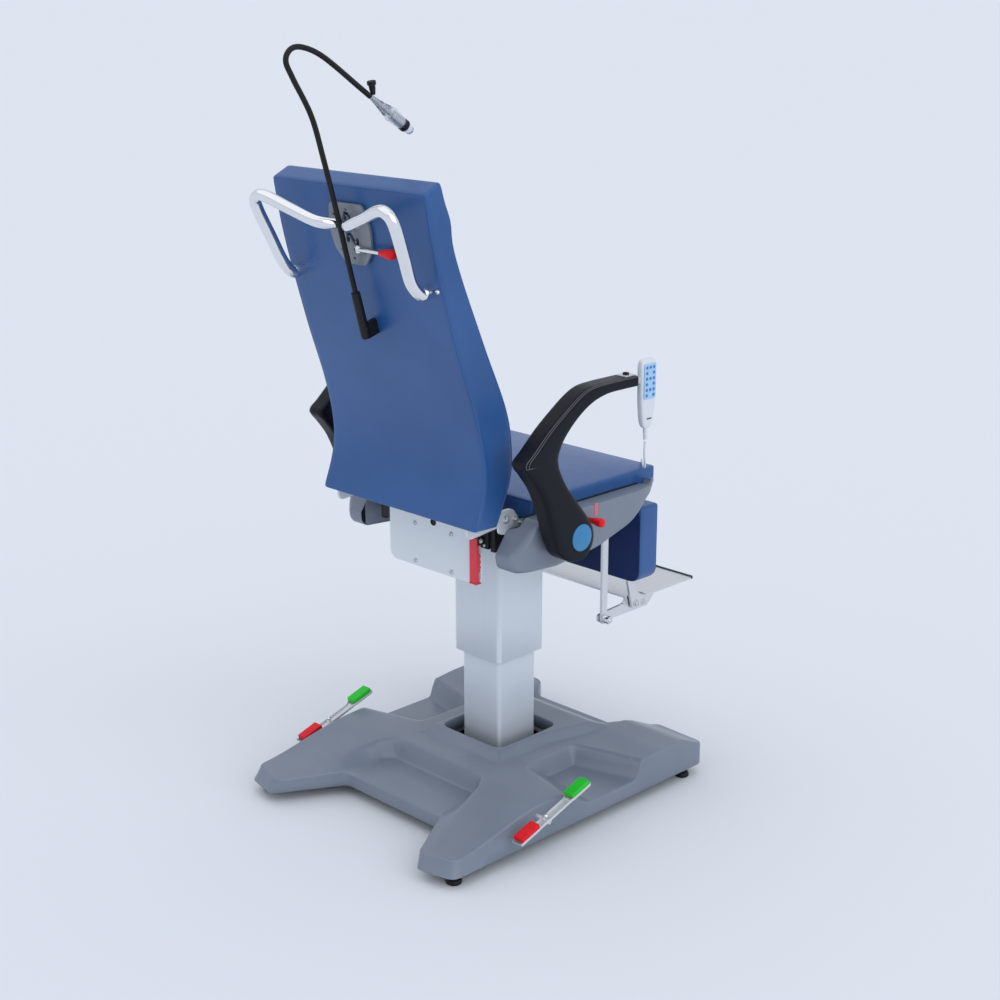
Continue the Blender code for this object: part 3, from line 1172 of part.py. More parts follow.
def build_footrest():
    """Stainless foot plate with a side flange to each pair of pivots."""
    foot = (LEG_HINGE[0], LEG_HINGE[1] - LEG_LENGTH)
    link_foot = (foot[0] + LINK[0], foot[1] + LINK[1])
    low = foot[1] + FOOT_PLATE_Z
    half = [(FOOT_PLATE_NECK_HALF, FOOT_PLATE_REAR_Y),
            (FOOT_PLATE_NECK_HALF, FOOT_PLATE_STEP_Y), (FOOT_PLATE_HALF, FOOT_PLATE_STEP_Y, 0.006),
            (FOOT_PLATE_HALF, FOOTREST_FRONT_Y, FOOT_PLATE_CORNER)]
    footrest = as_mesh(plate("footrest_plate", "footrest", "stainless", "XY", rounded(mirrored(half)),
                             low, low + FOOT_PLATE_THICK))
    eye = LEG_EYE_RADIUS * 0.9
    for side, sign in SIDES:
        outer = FOOT_PLATE_NECK_HALF - GAP
        ends = sorted((sign * (outer - GUSSET_THICK), sign * outer))
        inside = low + FOOT_PLATE_THICK / 2
        corners = [(link_foot[0] + eye, link_foot[1] + eye * 0.8, eye * 0.7),
                   (foot[0] + 2.6 * eye, foot[1] + 0.006, 0.01), (foot[0] + 2.6 * eye, inside),
                   (FOOT_PLATE_STEP_Y - 0.07, inside), (foot[0] - 0.050, foot[1] - 1.8 * eye, 0.012),
                   (link_foot[0] + eye, link_foot[1] - eye, eye * 0.9)]
        weld(footrest, as_mesh(plate(f"gusset_{side}", "footrest", None, "YZ", rounded(corners), *ends,
                                     holes=[circle(foot, LEG_PIN_RADIUS + GAP),
                                            circle(link_foot, LEG_PIN_RADIUS + GAP)])))


def arm_outline():
    """Side view of an armrest: a level pad that bends down and back, then forward to its hub."""
    under = ARM_TOP_Z - ARM_PAD_THICK
    y, z = ARM_PIVOT
    return rounded([(ARM_FRONT_Y, ARM_TOP_Z, 0.008), (ARM_FRONT_Y, under, 0.008), (y + 0.002, under, 0.110),
                    (y + 0.080, z + 0.175, 0.055), (y - 0.046, z + 0.020, 0.040), (y - 0.048, z - 0.050, 0.046),
                    (y + 0.067, z - 0.050, 0.042), (y + 0.105, z + 0.100, 0.100), (y + 0.167, z + 0.186, 0.012),
                    (y - 0.008, ARM_TOP_Z, 0.060)], steps=4)


def build_armrest(side, sign):
    body = f"armrest_{side}"
    ends = sorted((sign * ARM_INNER, sign * ARM_OUTER))
    arm = as_mesh(plate(f"armrest_{side}", body, "black_plastic", "YZ", arm_outline(), *ends, edge=ARM_EDGE))
    weld(arm, rod(f"armrest_boss_{side}", body, None, ARM_BOSS_RADIUS, (sign * (COVER_OUTER + GAP), *ARM_PIVOT),
                  (sign * (ARM_INNER + ARM_EDGE), *ARM_PIVOT)))
    start = sign * (COVER_OUTER + GAP)
    knob_from = LOCK_STEM_OUT
    knob_end = knob_from + LOCK_KNOB_LENGTH
    profile = [(0.0, knob_end), (LOCK_KNOB_RADIUS * 0.8, knob_end - 0.002), (LOCK_KNOB_RADIUS, knob_end - 0.008),
               (LOCK_KNOB_RADIUS * 0.6, knob_from), (LOCK_STEM_RADIUS, knob_from), (LOCK_STEM_RADIUS, 0.0),
               (0.0, 0.0)]
    at = Vector((start, *LOCK_AT))
    turned(f"armrest_lock_{side}", f"armrest_lock_{side}", "red_plastic", profile, at, at + Vector((sign, 0, 0)),
           steps=16)


def handset_foot():
    """Where the cord leaves the hand control's strain relief."""
    y = ARM_FRONT_Y - HOOK_LENGTH - HANDSET_SIZE[1] / 2
    return Vector((HANDSET_X, y, HANDSET_TOP_Z - HANDSET_SIZE[2] - RELIEF_LENGTH))


def build_handset():
    """Hand control on a hook at the right armrest's end, with a hanging cord to the seat frame."""
    body = "armrest_right"
    foot = handset_foot()
    half = HANDSET_SIZE[1] / 2
    bottom = HANDSET_TOP_Z - HANDSET_SIZE[2]
    corners = [(foot.y + half, HANDSET_TOP_Z, 0.010), (foot.y - half, HANDSET_TOP_Z, 0.010),
               (foot.y - half, bottom + half, 0.010), (foot.y - HANDSET_FOOT_HALF, bottom, 0.008),
               (foot.y + HANDSET_FOOT_HALF, bottom, 0.008), (foot.y + half, bottom + half, 0.010)]
    handset = as_mesh(plate("handset", body, "white_plastic", "YZ", rounded(corners),
                            HANDSET_X - HANDSET_SIZE[0] / 2, HANDSET_X + HANDSET_SIZE[0] / 2, edge=HANDSET_EDGE))
    weld(handset, rod("strain_relief", body, None, RELIEF_RADIUS, (foot.x, foot.y, bottom + HANDSET_EDGE), foot,
                      sides=16, end_radius=CORD_RADIUS * 1.5))
    middle = ARM_TOP_Z - ARM_PAD_THICK / 2
    weld(handset, box("handset_hook", body, None, (HANDSET_X - 0.006, foot.y, middle - 0.008),
                      (HANDSET_X + 0.006, ARM_FRONT_Y - GAP, middle + 0.008)))

    gland_end = RAIL_FRONT_Y - GAP - GLAND_LENGTH
    gland_z = SEAT_Z - GLAND_DROP
    rod("cord_gland", "seat", "black_plastic", GLAND_RADIUS, (GLAND_X, RAIL_FRONT_Y - GAP, gland_z),
        (GLAND_X, gland_end, gland_z), sides=16, end_radius=CORD_RADIUS * 1.6)
    route = [foot - Vector((0, 0, GAP)), foot - Vector((0, 0, 3 * CORD_RADIUS))]
    route += [(x, y, SEAT_Z + rise) for x, y, rise in CORD_ROUTE]
    route += [(GLAND_X, gland_end - 2 * CORD_RADIUS, gland_z), (GLAND_X, gland_end - GAP, gland_z)]
    tube("handset_cord", "seat", "white_plastic", CORD_RADIUS, route, step=CORD_STEP)


def build_release():
    """Red emergency lever on a small bracket at the rear cross member."""
    y, z = RELEASE_PIVOT
    rear = REAR_CROSS_Y + CROSS_DEPTH + GAP
    face = rear + REAR_PLATE_THICK + 2 * RUNNING_GAP
    left = RELEASE_X - RELEASE_WIDTH / 2
    right = RELEASE_X + RELEASE_WIDTH / 2
    top = z + RELEASE_TOP
    bottom = top - RELEASE_LENGTH
    lever = box("release_lever", "release_lever", "red_plastic", (left, face, bottom),
                (right, face + RELEASE_FLANGE, top))
    cut(lever, box("release_hollow", "release_lever", None,
                   (left + RELEASE_THICK, face + RELEASE_THICK, bottom + RELEASE_THICK),
                   (right + RELEASE_THICK, face + 2 * RELEASE_FLANGE, top - RELEASE_THICK)))
    lug = left - RUNNING_GAP
    weld(lever, rod("release_pin", "release_lever", None, RELEASE_PIN_RADIUS, (lug - RELEASE_THICK, y, z),
                    (left + RELEASE_THICK / 2, y, z), sides=16))
    inner = -REAR_PLATE_HALF - RUNNING_GAP
    bracket = box("release_bracket", "seat", None,
                  (inner - RELEASE_BRACKET[0], rear - RUNNING_GAP, z - RELEASE_BRACKET[1] / 2),
                  (inner, rear + REAR_PLATE_THICK, z + RELEASE_BRACKET[1] / 2))
    ear = box("release_ear", "seat", None, (lug - RELEASE_THICK, rear, z - 0.009),
              (lug, face + RELEASE_FLANGE, z + 0.009))
    frame = bpy.data.objects["seat_frame"]
    weld(frame, bracket, ear)
    cut(frame, rod("release_bore", "seat", None, RELEASE_PIN_RADIUS + GAP, (lug - 2 * RELEASE_THICK, y, z),
                   (right, y, z), sides=16))


def add_bodies():
    """The joint axes, each an empty at its place in the chair."""
    hinge = (0.0, *LEG_HINGE)
    foot = (0.0, LEG_HINGE[0], LEG_HINGE[1] - LEG_LENGTH)
    add_body("base", None, (0, 0, 0))
    add_body("seat", "base", (0, 0, 0))
    add_body("backrest", "seat", (0.0, *recline_pivot()))
    add_body("legrest", "seat", hinge)
    add_body("legrest_bars", "seat", (0.0, *link_pivot()))
    add_body("footrest", "legrest", foot)
    add_body("release_lever", "seat", (RELEASE_X, *RELEASE_PIVOT))
    add_body("head_pad", "backrest", (0.0, back_at(BACK_FRONT, HEAD_PAD_RISE), SEAT_Z + HEAD_PAD_RISE))
    root, upward, rearward = back_frame(PLATE_RISE)
    lever = root + upward * LEVER_DROP + rearward * PLATE_THICK + Vector((LEVER_X, 0, 0))
    add_body("headrest_lever", "backrest", lever)
    add_body("lamp_head", "backrest", lamp_axis()[0])
    for side, sign in SIDES:
        add_body(f"pedal_{side}", "base", (sign * PEDAL_X, *PEDAL_PIVOT))
        add_body(f"castor_{side}", f"pedal_{side}", (sign * CRANK_X, PEDAL_PIVOT[0] + CRANK_REACH[0],
                                                     PEDAL_PIVOT[1] + CRANK_REACH[1]))
        add_body(f"armrest_{side}", "seat", (sign * ARM_INNER, *ARM_PIVOT))
        add_body(f"armrest_lock_{side}", "seat", (sign * COVER_OUTER, *LOCK_AT))


add_bodies()
build_base_cover()
build_base_frame()
build_feet()
build_column()
build_seat_frame()
build_seat()
build_rear_plate()
build_recline()
build_backrest()
build_head_pad()
build_push_handles()
build_headrest_plate()
build_lamp()
build_legrest()
build_footrest()
build_handset()
build_release()
for side_name, side_sign in SIDES:
    build_pedal(side_name, side_sign)
    build_side_cover(side_name, side_sign)
    build_armrest(side_name, side_sign)
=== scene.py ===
"""Looks of the examination chair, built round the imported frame.

Metres, +Z up, heights from the floor. The sitter faces -Y, with the right hand at -X.
Lengths along Y in the tables are counted from the column's axis, and piece() shifts them.
"""
import math

import bmesh
import bpy
import numpy as np
from mathutils import Matrix


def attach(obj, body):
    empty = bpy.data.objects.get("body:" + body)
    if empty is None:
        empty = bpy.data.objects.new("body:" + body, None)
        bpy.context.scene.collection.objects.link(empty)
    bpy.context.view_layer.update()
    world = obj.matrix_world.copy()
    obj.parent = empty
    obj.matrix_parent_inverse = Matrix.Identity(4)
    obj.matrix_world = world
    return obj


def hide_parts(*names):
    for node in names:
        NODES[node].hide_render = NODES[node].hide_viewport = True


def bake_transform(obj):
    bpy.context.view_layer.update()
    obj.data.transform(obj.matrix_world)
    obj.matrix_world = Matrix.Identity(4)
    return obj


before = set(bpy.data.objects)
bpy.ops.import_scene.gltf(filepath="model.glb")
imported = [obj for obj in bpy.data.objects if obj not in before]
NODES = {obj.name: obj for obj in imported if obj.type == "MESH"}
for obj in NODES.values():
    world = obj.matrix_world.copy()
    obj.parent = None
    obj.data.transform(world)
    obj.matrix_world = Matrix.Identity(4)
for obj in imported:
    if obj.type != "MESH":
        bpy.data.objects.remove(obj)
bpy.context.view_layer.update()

COLUMN_Y = -0.06875
SEAT_Z = 0.7032
SIDES = (("right", -1), ("left", 1))
X_AXIS, Y_AXIS, Z_AXIS = np.eye(3)


class Shade:
    """A value in a material's nodes; arithmetic on it adds Math nodes."""

    def __init__(self, finish, socket):
        self.finish = finish
        self.socket = socket

    def math(self, operation, first, second):
        """A Math node on two values."""
        return self.finish.node("Math", {"operation": operation}, {0: first, 1: second})

    def __add__(self, other):
        return self.math("ADD", self, other)

    def __sub__(self, other):
        return self.math("SUBTRACT", self, other)

    def __rsub__(self, other):
        return self.math("SUBTRACT", other, self)

    def __mul__(self, other):
        return self.math("MULTIPLY", self, other)

    __radd__ = __add__
    __rmul__ = __mul__


class Finish:
    """A procedural material: node() adds any node, put() sets or links one of the shader's sockets."""

    def __init__(self, name, **sockets):
        self.material = bpy.data.materials.new(name)
        self.material.use_nodes = True
        self.tree = self.material.node_tree
        self.shader = self.tree.nodes["Principled BSDF"]
        for key, value in sockets.items():
            self.put(key.replace("_", " ").title().replace("Ior", "IOR"), value)

    def link(self, socket, value):
        """Wire a shade to a socket, or set a plain value on it."""
        if isinstance(value, Shade):
            self.tree.links.new(value.socket, socket)
        else:
            socket.default_value = value

    def node(self, kind, settings, inputs, out=0):
        """A new node with its settings and inputs, as the shade of one of its outputs."""
        made = self.tree.nodes.new("ShaderNode" + kind)
        for key, value in settings.items():
            if key == "stops":
                for stop, (place, shade) in zip(made.color_ramp.elements, value):
                    stop.position = place
                    stop.color = (shade, shade, shade, 1.0)
            else:
                setattr(made, key, value)
        for key, value in inputs.items():
            self.link(made.inputs[key], value)
        return Shade(self, made.outputs[out])

    def put(self, name, value):
        """Set or wire one of the shader's own sockets."""
        self.link(self.shader.inputs[name], value)

    def place(self, stretch=(1.0, 1.0, 1.0)):
        """Object coordinates, stretched along the axes."""
        where = self.node("TexCoord", {}, {}, out="Object")
        return self.node("Mapping", {}, {"Vector": where, "Scale": stretch})

    def noise(self, scale, detail=2.0, stretch=(1.0, 1.0, 1.0)):
        """Cloudy noise, stretched along the axes."""
        return self.node("TexNoise", {}, {"Vector": self.place(stretch), "Scale": scale, "Detail": detail})

    def cells(self, scale):
        """Distance to the nearest of scattered points, which looks like pebbles."""
        return self.node("TexVoronoi", {}, {"Vector": self.place(), "Scale": scale})

    def ramp(self, value, low, high):
        """0 below low, 1 above high, straight between."""
        return self.node("ValToRGB", {"stops": ((low, 0.0), (high, 1.0))}, {0: value})

    def mix(self, amount, first, second):
        """A blend of two colours."""
        return self.node("Mix", {"data_type": "RGBA"}, {0: amount, 6: first, 7: second}, out=2)

    def bump(self, height, distance, strength=1.0):
        """Fine relief from a height."""
        inputs = {"Height": height, "Distance": distance, "Strength": strength}
        self.put("Normal", self.node("Bump", {}, inputs))

    def tint(self, first, second, scale, low=0.35, high=0.65):
        """Two close colours in soft clouds."""
        cloud = self.ramp(self.noise(scale, 3.0), low, high)
        self.put("Base Color", self.mix(cloud, (*first, 1.0), (*second, 1.0)))


def leather_finish(name, first, second, rough, grain, coat=0.0, shine=0.25):
    """Coated upholstery: fine pebbled grain, faint creases and a little uneven gloss."""
    made = Finish(name, specular_ior_level=shine, coat_weight=coat, coat_roughness=0.22)
    made.tint(first, second, 7.0)
    pebbles = made.cells(grain)
    creases = made.noise(grain * 0.16, 4.0)
    made.put("Roughness", rough + 0.16 * (creases - 0.5) + 0.06 * pebbles)
    made.bump(pebbles * 0.6 + creases * 0.8, 0.0005, 0.55)
    return made.material


def plastic_finish(name, first, second, rough, grain=900.0, depth=0.0002, shine=0.45):
    """Moulded plastic: spark-eroded texture and soft clouds in colour and gloss."""
    made = Finish(name, specular_ior_level=shine)
    made.tint(first, second, 9.0)
    texture = made.noise(grain, 2.0)
    made.put("Roughness", rough + 0.12 * (made.noise(14.0, 3.0) - 0.5) + 0.08 * (texture - 0.5))
    made.bump(texture, depth, 0.5)
    return made.material


def brushed_finish(name, first, second, rough, stretch, metallic=1.0, depth=0.0001):
    """Brushed or ground metal: long fine lines along one axis, in colour, gloss and relief."""
    made = Finish(name, metallic=metallic)
    lines = made.noise(1.0, 4.0, stretch)
    smear = made.noise(5.0, 3.0)
    streaks = made.ramp(lines * 0.7 + smear * 0.3, 0.30, 0.70)
    made.put("Base Color", made.mix(streaks, (*first, 1.0), (*second, 1.0)))
    made.put("Roughness", rough + 0.18 * (lines - 0.5) + 0.10 * (smear - 0.5))
    made.bump(lines, depth, 0.4)
    return made.material


def chrome_finish(name, shade, rough):
    """Polished plating with faint wiping marks."""
    made = Finish(name, metallic=1.0)
    bright = (shade, shade, shade * 1.02, 1.0)
    dull = (shade * 0.92, shade * 0.93, shade * 0.95, 1.0)
    made.put("Base Color", made.mix(made.noise(60.0, 4.0), bright, dull))
    made.put("Roughness", rough + 0.05 * made.noise(25.0, 3.0))
    return made.material


def lens_finish(name, clear, rough):
    """Clear moulding, faintly clouded."""
    made = Finish(name, transmission_weight=clear, ior=1.49, roughness=rough)
    made.tint((0.80, 0.86, 0.92), (0.88, 0.92, 0.96), 20.0)
    return made.material


# stretch of the brushed lines along each axis
ACROSS = (6.0, 900.0, 900.0)
UPRIGHT = (700.0, 700.0, 5.0)
LENGTHWAYS = (900.0, 6.0, 900.0)

# each finish by name, with the values that its function takes after the name
LEATHERS = {
    "blue_leather": ((0.017, 0.082, 0.255), (0.022, 0.094, 0.285), 0.32, 900.0, 0.22, 0.35),
    "blue_piping": ((0.022, 0.094, 0.270), (0.026, 0.104, 0.295), 0.34, 1100.0, 0.22, 0.35),
    # a darker navy leather that paints the shade on the leg pad's rear face
    "navy_backing": ((0.0045, 0.017, 0.090), (0.006, 0.021, 0.105), 0.40, 900.0, 0.0, 0.2),
    "black_leather": ((0.0036, 0.0046, 0.0085), (0.0050, 0.0062, 0.0105), 0.34, 1000.0, 0.0, 0.16),
    "grey_thread": ((0.10, 0.105, 0.12), (0.15, 0.155, 0.17), 0.60, 1600.0),
}
PLASTICS = {
    "grey_shell": ((0.176, 0.208, 0.260), (0.190, 0.224, 0.278), 0.31),
    "dark_shell": ((0.030, 0.032, 0.037), (0.038, 0.040, 0.046), 0.50),
    "black_plastic": ((0.007, 0.0075, 0.009), (0.011, 0.0115, 0.013), 0.40, 900.0, 0.0002, 0.25),
    "black_rubber": ((0.008, 0.0085, 0.010), (0.012, 0.0125, 0.014), 0.46, 600.0, 0.0004, 0.22),
    "red_plastic": ((0.690, 0.006, 0.012), (0.740, 0.009, 0.016), 0.34, 700.0, 0.0001, 0.22),
    # a pinker copy of the red plastic for the release lever: the red is its own, the pink paints the sheen of
    # light on its plate
    "red_lever": ((0.700, 0.042, 0.062), (0.740, 0.050, 0.072), 0.34, 700.0, 0.0001, 0.3),
    "red_mark": ((0.620, 0.130, 0.150), (0.660, 0.150, 0.170), 0.40),
    "green_rubber": ((0.016, 0.460, 0.022), (0.024, 0.580, 0.034), 0.46, 800.0, 0.0003, 0.25),
    "white_plastic": ((0.660, 0.690, 0.730), (0.700, 0.730, 0.770), 0.38, 900.0, 0.0001),
    "pale_blue": ((0.330, 0.560, 0.800), (0.380, 0.600, 0.830), 0.35, 900.0, 0.0001),
    "mid_blue": ((0.040, 0.180, 0.520), (0.050, 0.210, 0.560), 0.38, 900.0, 0.0001),
    "hub_blue": ((0.030, 0.200, 0.420), (0.036, 0.225, 0.460), 0.35),
}
BRUSHED = {
    "grey_paint": ((0.660, 0.715, 0.775), (0.710, 0.760, 0.815), 0.36, UPRIGHT, 0.30),
    "plate_paint": ((0.690, 0.735, 0.780), (0.720, 0.765, 0.805), 0.42, ACROSS, 0.30),
    "head_paint": ((0.200, 0.225, 0.255), (0.235, 0.260, 0.290), 0.42, ACROSS, 0.35),
    # dark steel, made near black so that it also paints the shade on the frames and drives inside the base
    # opening and under the seat
    "dark_steel": ((0.014, 0.015, 0.017), (0.022, 0.023, 0.026), 0.45, LENGTHWAYS, 0.4),
    "stainless": ((0.715, 0.725, 0.740), (0.735, 0.745, 0.760), 0.30, LENGTHWAYS, 0.9, 0.00001),
    "zinc": ((0.560, 0.575, 0.590), (0.660, 0.675, 0.690), 0.32, ACROSS, 0.65),
    "pedal_steel": ((0.640, 0.650, 0.670), (0.740, 0.750, 0.770), 0.34, LENGTHWAYS, 0.6),
}
CHROMES = {"chrome": (0.86, 0.06), "satin_chrome": (0.80, 0.20)}
LENSES = {"lamp_glass": (0.7, 0.06), "clear_barrel": (0.90, 0.03)}
FINISH = {}
for make, table in ((leather_finish, LEATHERS), (plastic_finish, PLASTICS), (brushed_finish, BRUSHED),
                    (chrome_finish, CHROMES), (lens_finish, LENSES)):
    FINISH |= {name: make(name, *values) for name, values in table.items()}


def unit(ways):
    """Ways scaled to length 1."""
    return ways / np.linalg.norm(ways, axis=-1, keepdims=True)


def catmull(points, t):
    """Catmull-Rom curve through the points; t counts points from 0 at the first."""
    p = np.asarray(points, float)
    ends = np.vstack([2 * p[0] - p[1], p, 2 * p[-1] - p[-2]])
    t = np.asarray(t, float)
    i = np.clip(t.astype(int), 0, len(p) - 2)
    f = (t - i)[..., None]
    a, b, c, d = ends[i], ends[i + 1], ends[i + 2], ends[i + 3]
    square = (2 * a - 5 * b + 4 * c - d) * f ** 2
    cube = (3 * b - a - 3 * c + d) * f ** 3
    return 0.5 * (2 * b + (c - a) * f + square + cube)


def even(points, count):
    """The same line with count points at even steps of its length."""
    steps = np.linalg.norm(np.diff(points, axis=0), axis=1)
    length = np.concatenate([[0.0], np.cumsum(steps)])
    at = np.linspace(0.0, length[-1], count)
    return np.stack([np.interp(at, length, column) for column in points.T], axis=1)


def smooth_line(points, count):
    """A smooth curve through the points, with count even steps."""
    return even(catmull(points, np.linspace(0, len(points) - 1, 30 * len(points))), count)


def ease(start, end, value):
    """0 before start, 1 after end, and a smooth step between them."""
    t = np.clip((value - start) / (end - start), 0.0, 1.0)
    return t * t * (3 - 2 * t)


def quads(rows, columns, closed=True, looped=False):
    """Quads of a grid of rows by columns; closed joins the last column to the first, looped the last row."""
    r = np.arange(rows if looped else rows - 1)[:, None]
    c = np.arange(columns if closed else columns - 1)[None, :]
    n, m = (c + 1) % columns, (r + 1) % rows
    return np.stack(np.broadcast_arrays(r * columns + c, r * columns + n, m * columns + n, m * columns + c),
                    -1).reshape(-1, 4)


def piece(name, body, finish, shape, replaces=(), outward=True, sharp=40.0):
    """A mesh from (points, faces) in chair positions, moved to the frame's origin and riding on a body."""
    points, faces = shape
    points = np.asarray(points, float).reshape(-1, 3) + (0.0, COLUMN_Y, 0.0)
    mesh = bpy.data.meshes.new(name)
    mesh.from_pydata(points.tolist(), [], [loop for group in faces for loop in np.asarray(group).tolist()])
    if outward:
        work = bmesh.new()
        work.from_mesh(mesh)
        bmesh.ops.remove_doubles(work, verts=work.verts, dist=0.00002)
        bmesh.ops.dissolve_degenerate(work, edges=work.edges, dist=0.000005)
        bmesh.ops.recalc_face_normals(work, faces=work.faces)
        work.to_mesh(mesh)
        work.free()
    mesh.shade_smooth()
    mesh.set_sharp_from_angle(angle=math.radians(sharp))
    mesh.materials.append(FINISH[finish])
    made = bpy.data.objects.new(name, mesh)
    bpy.context.scene.collection.objects.link(made)
    if body:
        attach(made, body)
    if replaces:
        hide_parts(*replaces)
    return made


def rows_to_mesh(rows, caps=True):
    """Points and faces of closed rings, with a flat cap over each end."""
    rows = np.asarray(rows, float)
    count, around = rows.shape[:2]
    faces = [quads(count, around)]
    if caps:
        loop = np.arange(around)[None]
        faces += [loop[:, ::-1], loop + (count - 1) * around]
    return rows.reshape(-1, 3), faces


def together(*shapes):
    """Several (points, faces) shapes as one."""
    points, faces, start = [], [], 0
    for some, groups in shapes:
        points.append(np.asarray(some, float).reshape(-1, 3))
        faces += [np.asarray(group) + start for group in groups]
        start += len(points[-1])
    return np.vstack(points), faces


def onto(shape, origin, u, v, w):
    """A shape carried from its own axes to a place: each axis gets a direction."""
    points, faces = shape
    return np.asarray(origin, float) + np.asarray(points) @ np.array([u, v, w], float), faces


def moved(shape, place):
    """A shape moved to a place without turning it."""
    return onto(shape, place, X_AXIS, Y_AXIS, Z_AXIS)


def mirrored_x(shape, sign):
    """The same shape on the side that sign says."""
    points, faces = shape
    return points * (sign, 1.0, 1.0), faces


def guide_for(way):
    """An axis that a way doesn't run close to: X, or Z for a way near X."""
    return X_AXIS if abs(way[0]) < 0.8 else Z_AXIS


def carried(path):
    """Two axes square to a path at each of its points, turned as little as possible along it."""
    along = unit(np.gradient(np.asarray(path, float), axis=0))
    guide = guide_for(along[0])
    first = []
    for way in along:
        guide = unit(guide - way * (guide @ way))
        first.append(guide)
    first = np.array(first)
    return first, np.cross(along, first)


def circle(count):
    """Even points round a circle of radius 1, as two columns: the cosines and the sines of equal turns."""
    turn = np.linspace(0, 2 * np.pi, count, endpoint=False)
    return np.column_stack([np.cos(turn), np.sin(turn)])


def squircle(count, power):
    """A circle drawn out towards a square: each column's size raised to a power below 1."""
    u, v = circle(count).T
    return np.sign(u) * np.abs(u) ** power, np.sign(v) * np.abs(v) ** power


def tube(path, radius, sides=16, caps=True):
    """A circle carried along a path; radius is one number or one for each point."""
    path = np.asarray(path, float)
    first, second = carried(path)
    u, v = circle(sides).T[..., None]
    size = np.broadcast_to(np.asarray(radius, float), (len(path),))[:, None, None]
    return rows_to_mesh(path[:, None] + size * (first[:, None] * u + second[:, None] * v), caps)


def closed_tube(path, radius, sides=10):
    """A circle carried round a closed path."""
    points, _ = tube(np.vstack([path, path[:1]]), radius, sides, caps=False)
    return points[:-sides], [quads(len(path), sides, looped=True)]


def closed_ring(centre, axis, radius, thick):
    """A round wire ring about an axis."""
    u, v = circle(48).T[..., None]
    first = unit(np.cross(axis, X_AXIS))
    second = np.cross(axis, first)
    return closed_tube(centre + radius * (first * u + second * v), thick, 8)


def lathe(profile, start, axis, sides=32):
    """(height, radius) pairs carried round an axis; a zero radius closes an end."""
    height, radius = np.asarray(profile, float).T[..., None, None]
    axis = unit(np.asarray(axis, float))
    first = unit(np.cross(axis, guide_for(axis)))
    second = np.cross(axis, first)
    u, v = circle(sides).T[..., None]
    ring = first * u + second * v
    return rows_to_mesh(np.asarray(start, float) + axis * height + ring * radius, caps=False)


def smooth_lathe(profile, start, axis, sides=40, steps=60):
    """A lathe whose profile is a smooth curve through its pairs, closed by flat ends."""
    line = smooth_line(np.asarray(profile, float), steps)
    return lathe(np.vstack([(line[0][0], 0.0), line, (line[-1][0], 0.0)]), start, axis, sides)


def hexagon(start, axis, across, height):
    """A nut or bolt head: a chamfered prism with a dimple."""
    r, low = across / 2, height * 0.8
    profile = [(0, 0), (0, r), (low, r), (height, r * 0.86), (height, r * 0.45), (low, r * 0.38), (low, 0)]
    return lathe(profile, start, axis, 6)


def screw_head(start, axis, radius, height):
    """A domed screw with a socket."""
    profile = [(0, 0), (0, radius), (height * 0.5, radius * 0.97), (height * 0.9, radius * 0.75),
               (height, radius * 0.5), (height * 0.45, radius * 0.42), (height * 0.45, 0)]
    return lathe(profile, start, axis, 20)


def rod(start, axis, radius, length):
    """A plain round rod with flat ends."""
    return lathe([(0, 0), (0, radius), (length, radius), (length, 0)], start, axis)


def axis_points(half, radius, count):
    """Places along one edge of a rounded block, closer together in its rounded ends."""
    ends = radius * (1 - np.cos(np.linspace(0.0, np.pi / 2, 6)))
    flat = np.linspace(radius - half, half - radius, count)
    return np.concatenate([-half + ends[:-1], flat, (half - ends[:-1])[::-1]])


def soften(points, half, radius):
    """Points on a box drawn onto the same box with rounded edges."""
    half = np.asarray(half, float)
    core = np.clip(points, radius - half, half - radius)
    return core + radius * unit(points - core)


def rounded_block(half, radius, counts=(2, 2, 2)):
    """Six grids over a box with rounded edges, joined along their borders, as points and faces."""
    shapes = []
    for axis in range(3):
        u, v = (axis + 1) % 3, (axis + 2) % 3
        a = axis_points(half[u], radius, counts[u])
        b = axis_points(half[v], radius, counts[v])
        for sign in (-1, 1):
            grid = np.zeros((len(a), len(b), 3))
            grid[..., u], grid[..., v] = np.meshgrid(a, b, indexing="ij")
            grid[..., axis] = sign * half[axis]
            shapes.append((grid, [quads(len(a), len(b), closed=False)]))
    points, faces = together(*shapes)
    points, joined = np.unique(np.round(points, 8), axis=0, return_inverse=True)
    joined = joined.ravel()
    return soften(points, half, radius), [joined[group] for group in faces]


def edge_loop(half, radius, w):
    """The edge round a rounded block at thickness w, as one closed line on its surface."""
    hx, hy = half[:2]
    t = np.linspace(-1, 1, 60, endpoint=False)
    sides = [np.stack([hx + 0 * t, hy * t], 1), np.stack([-hx * t, hy + 0 * t], 1),
             np.stack([-hx + 0 * t, -hy * t], 1), np.stack([hx * t, -hy + 0 * t], 1)]
    loop = np.vstack(sides)
    return soften(np.column_stack([loop, np.full(len(loop), w)]), half, radius)


# half the angle, in radians, of a corner that is as good as straight
NEARLY_STRAIGHT = 1.54


def rounded_outline(corners, steps=8):
    """A polygon whose (u, v, radius) corners are arcs."""
    corners = np.asarray(corners, float)
    out = []
    for i, (u, v, radius) in enumerate(corners):
        here = np.array((u, v))
        before = unit(corners[i - 1][:2] - here)
        after = unit(corners[(i + 1) % len(corners)][:2] - here)
        half = math.acos(np.clip(before @ after, -1, 1)) / 2
        if radius == 0 or half > NEARLY_STRAIGHT:
            out.append(here[None])
            continue
        middle = unit(before + after)
        centre = here + middle * radius / math.sin(half)
        sweep = np.pi - 2 * half
        turn = np.linspace(-sweep / 2, sweep / 2, steps)
        side = np.array((-middle[1], middle[0]))
        way = 1 if side @ before < 0 else -1
        sideways = side * way * radius * np.sin(turn)[:, None]
        out.append(centre - middle * radius * np.cos(turn)[:, None] + sideways)
    return np.vstack(out)


def oblong(half_u, half_v, radius):
    """A rounded oblong outline about the origin."""
    return rounded_outline([(half_u, half_v, radius), (-half_u, half_v, radius), (-half_u, -half_v, radius),
                            (half_u, -half_v, radius)])


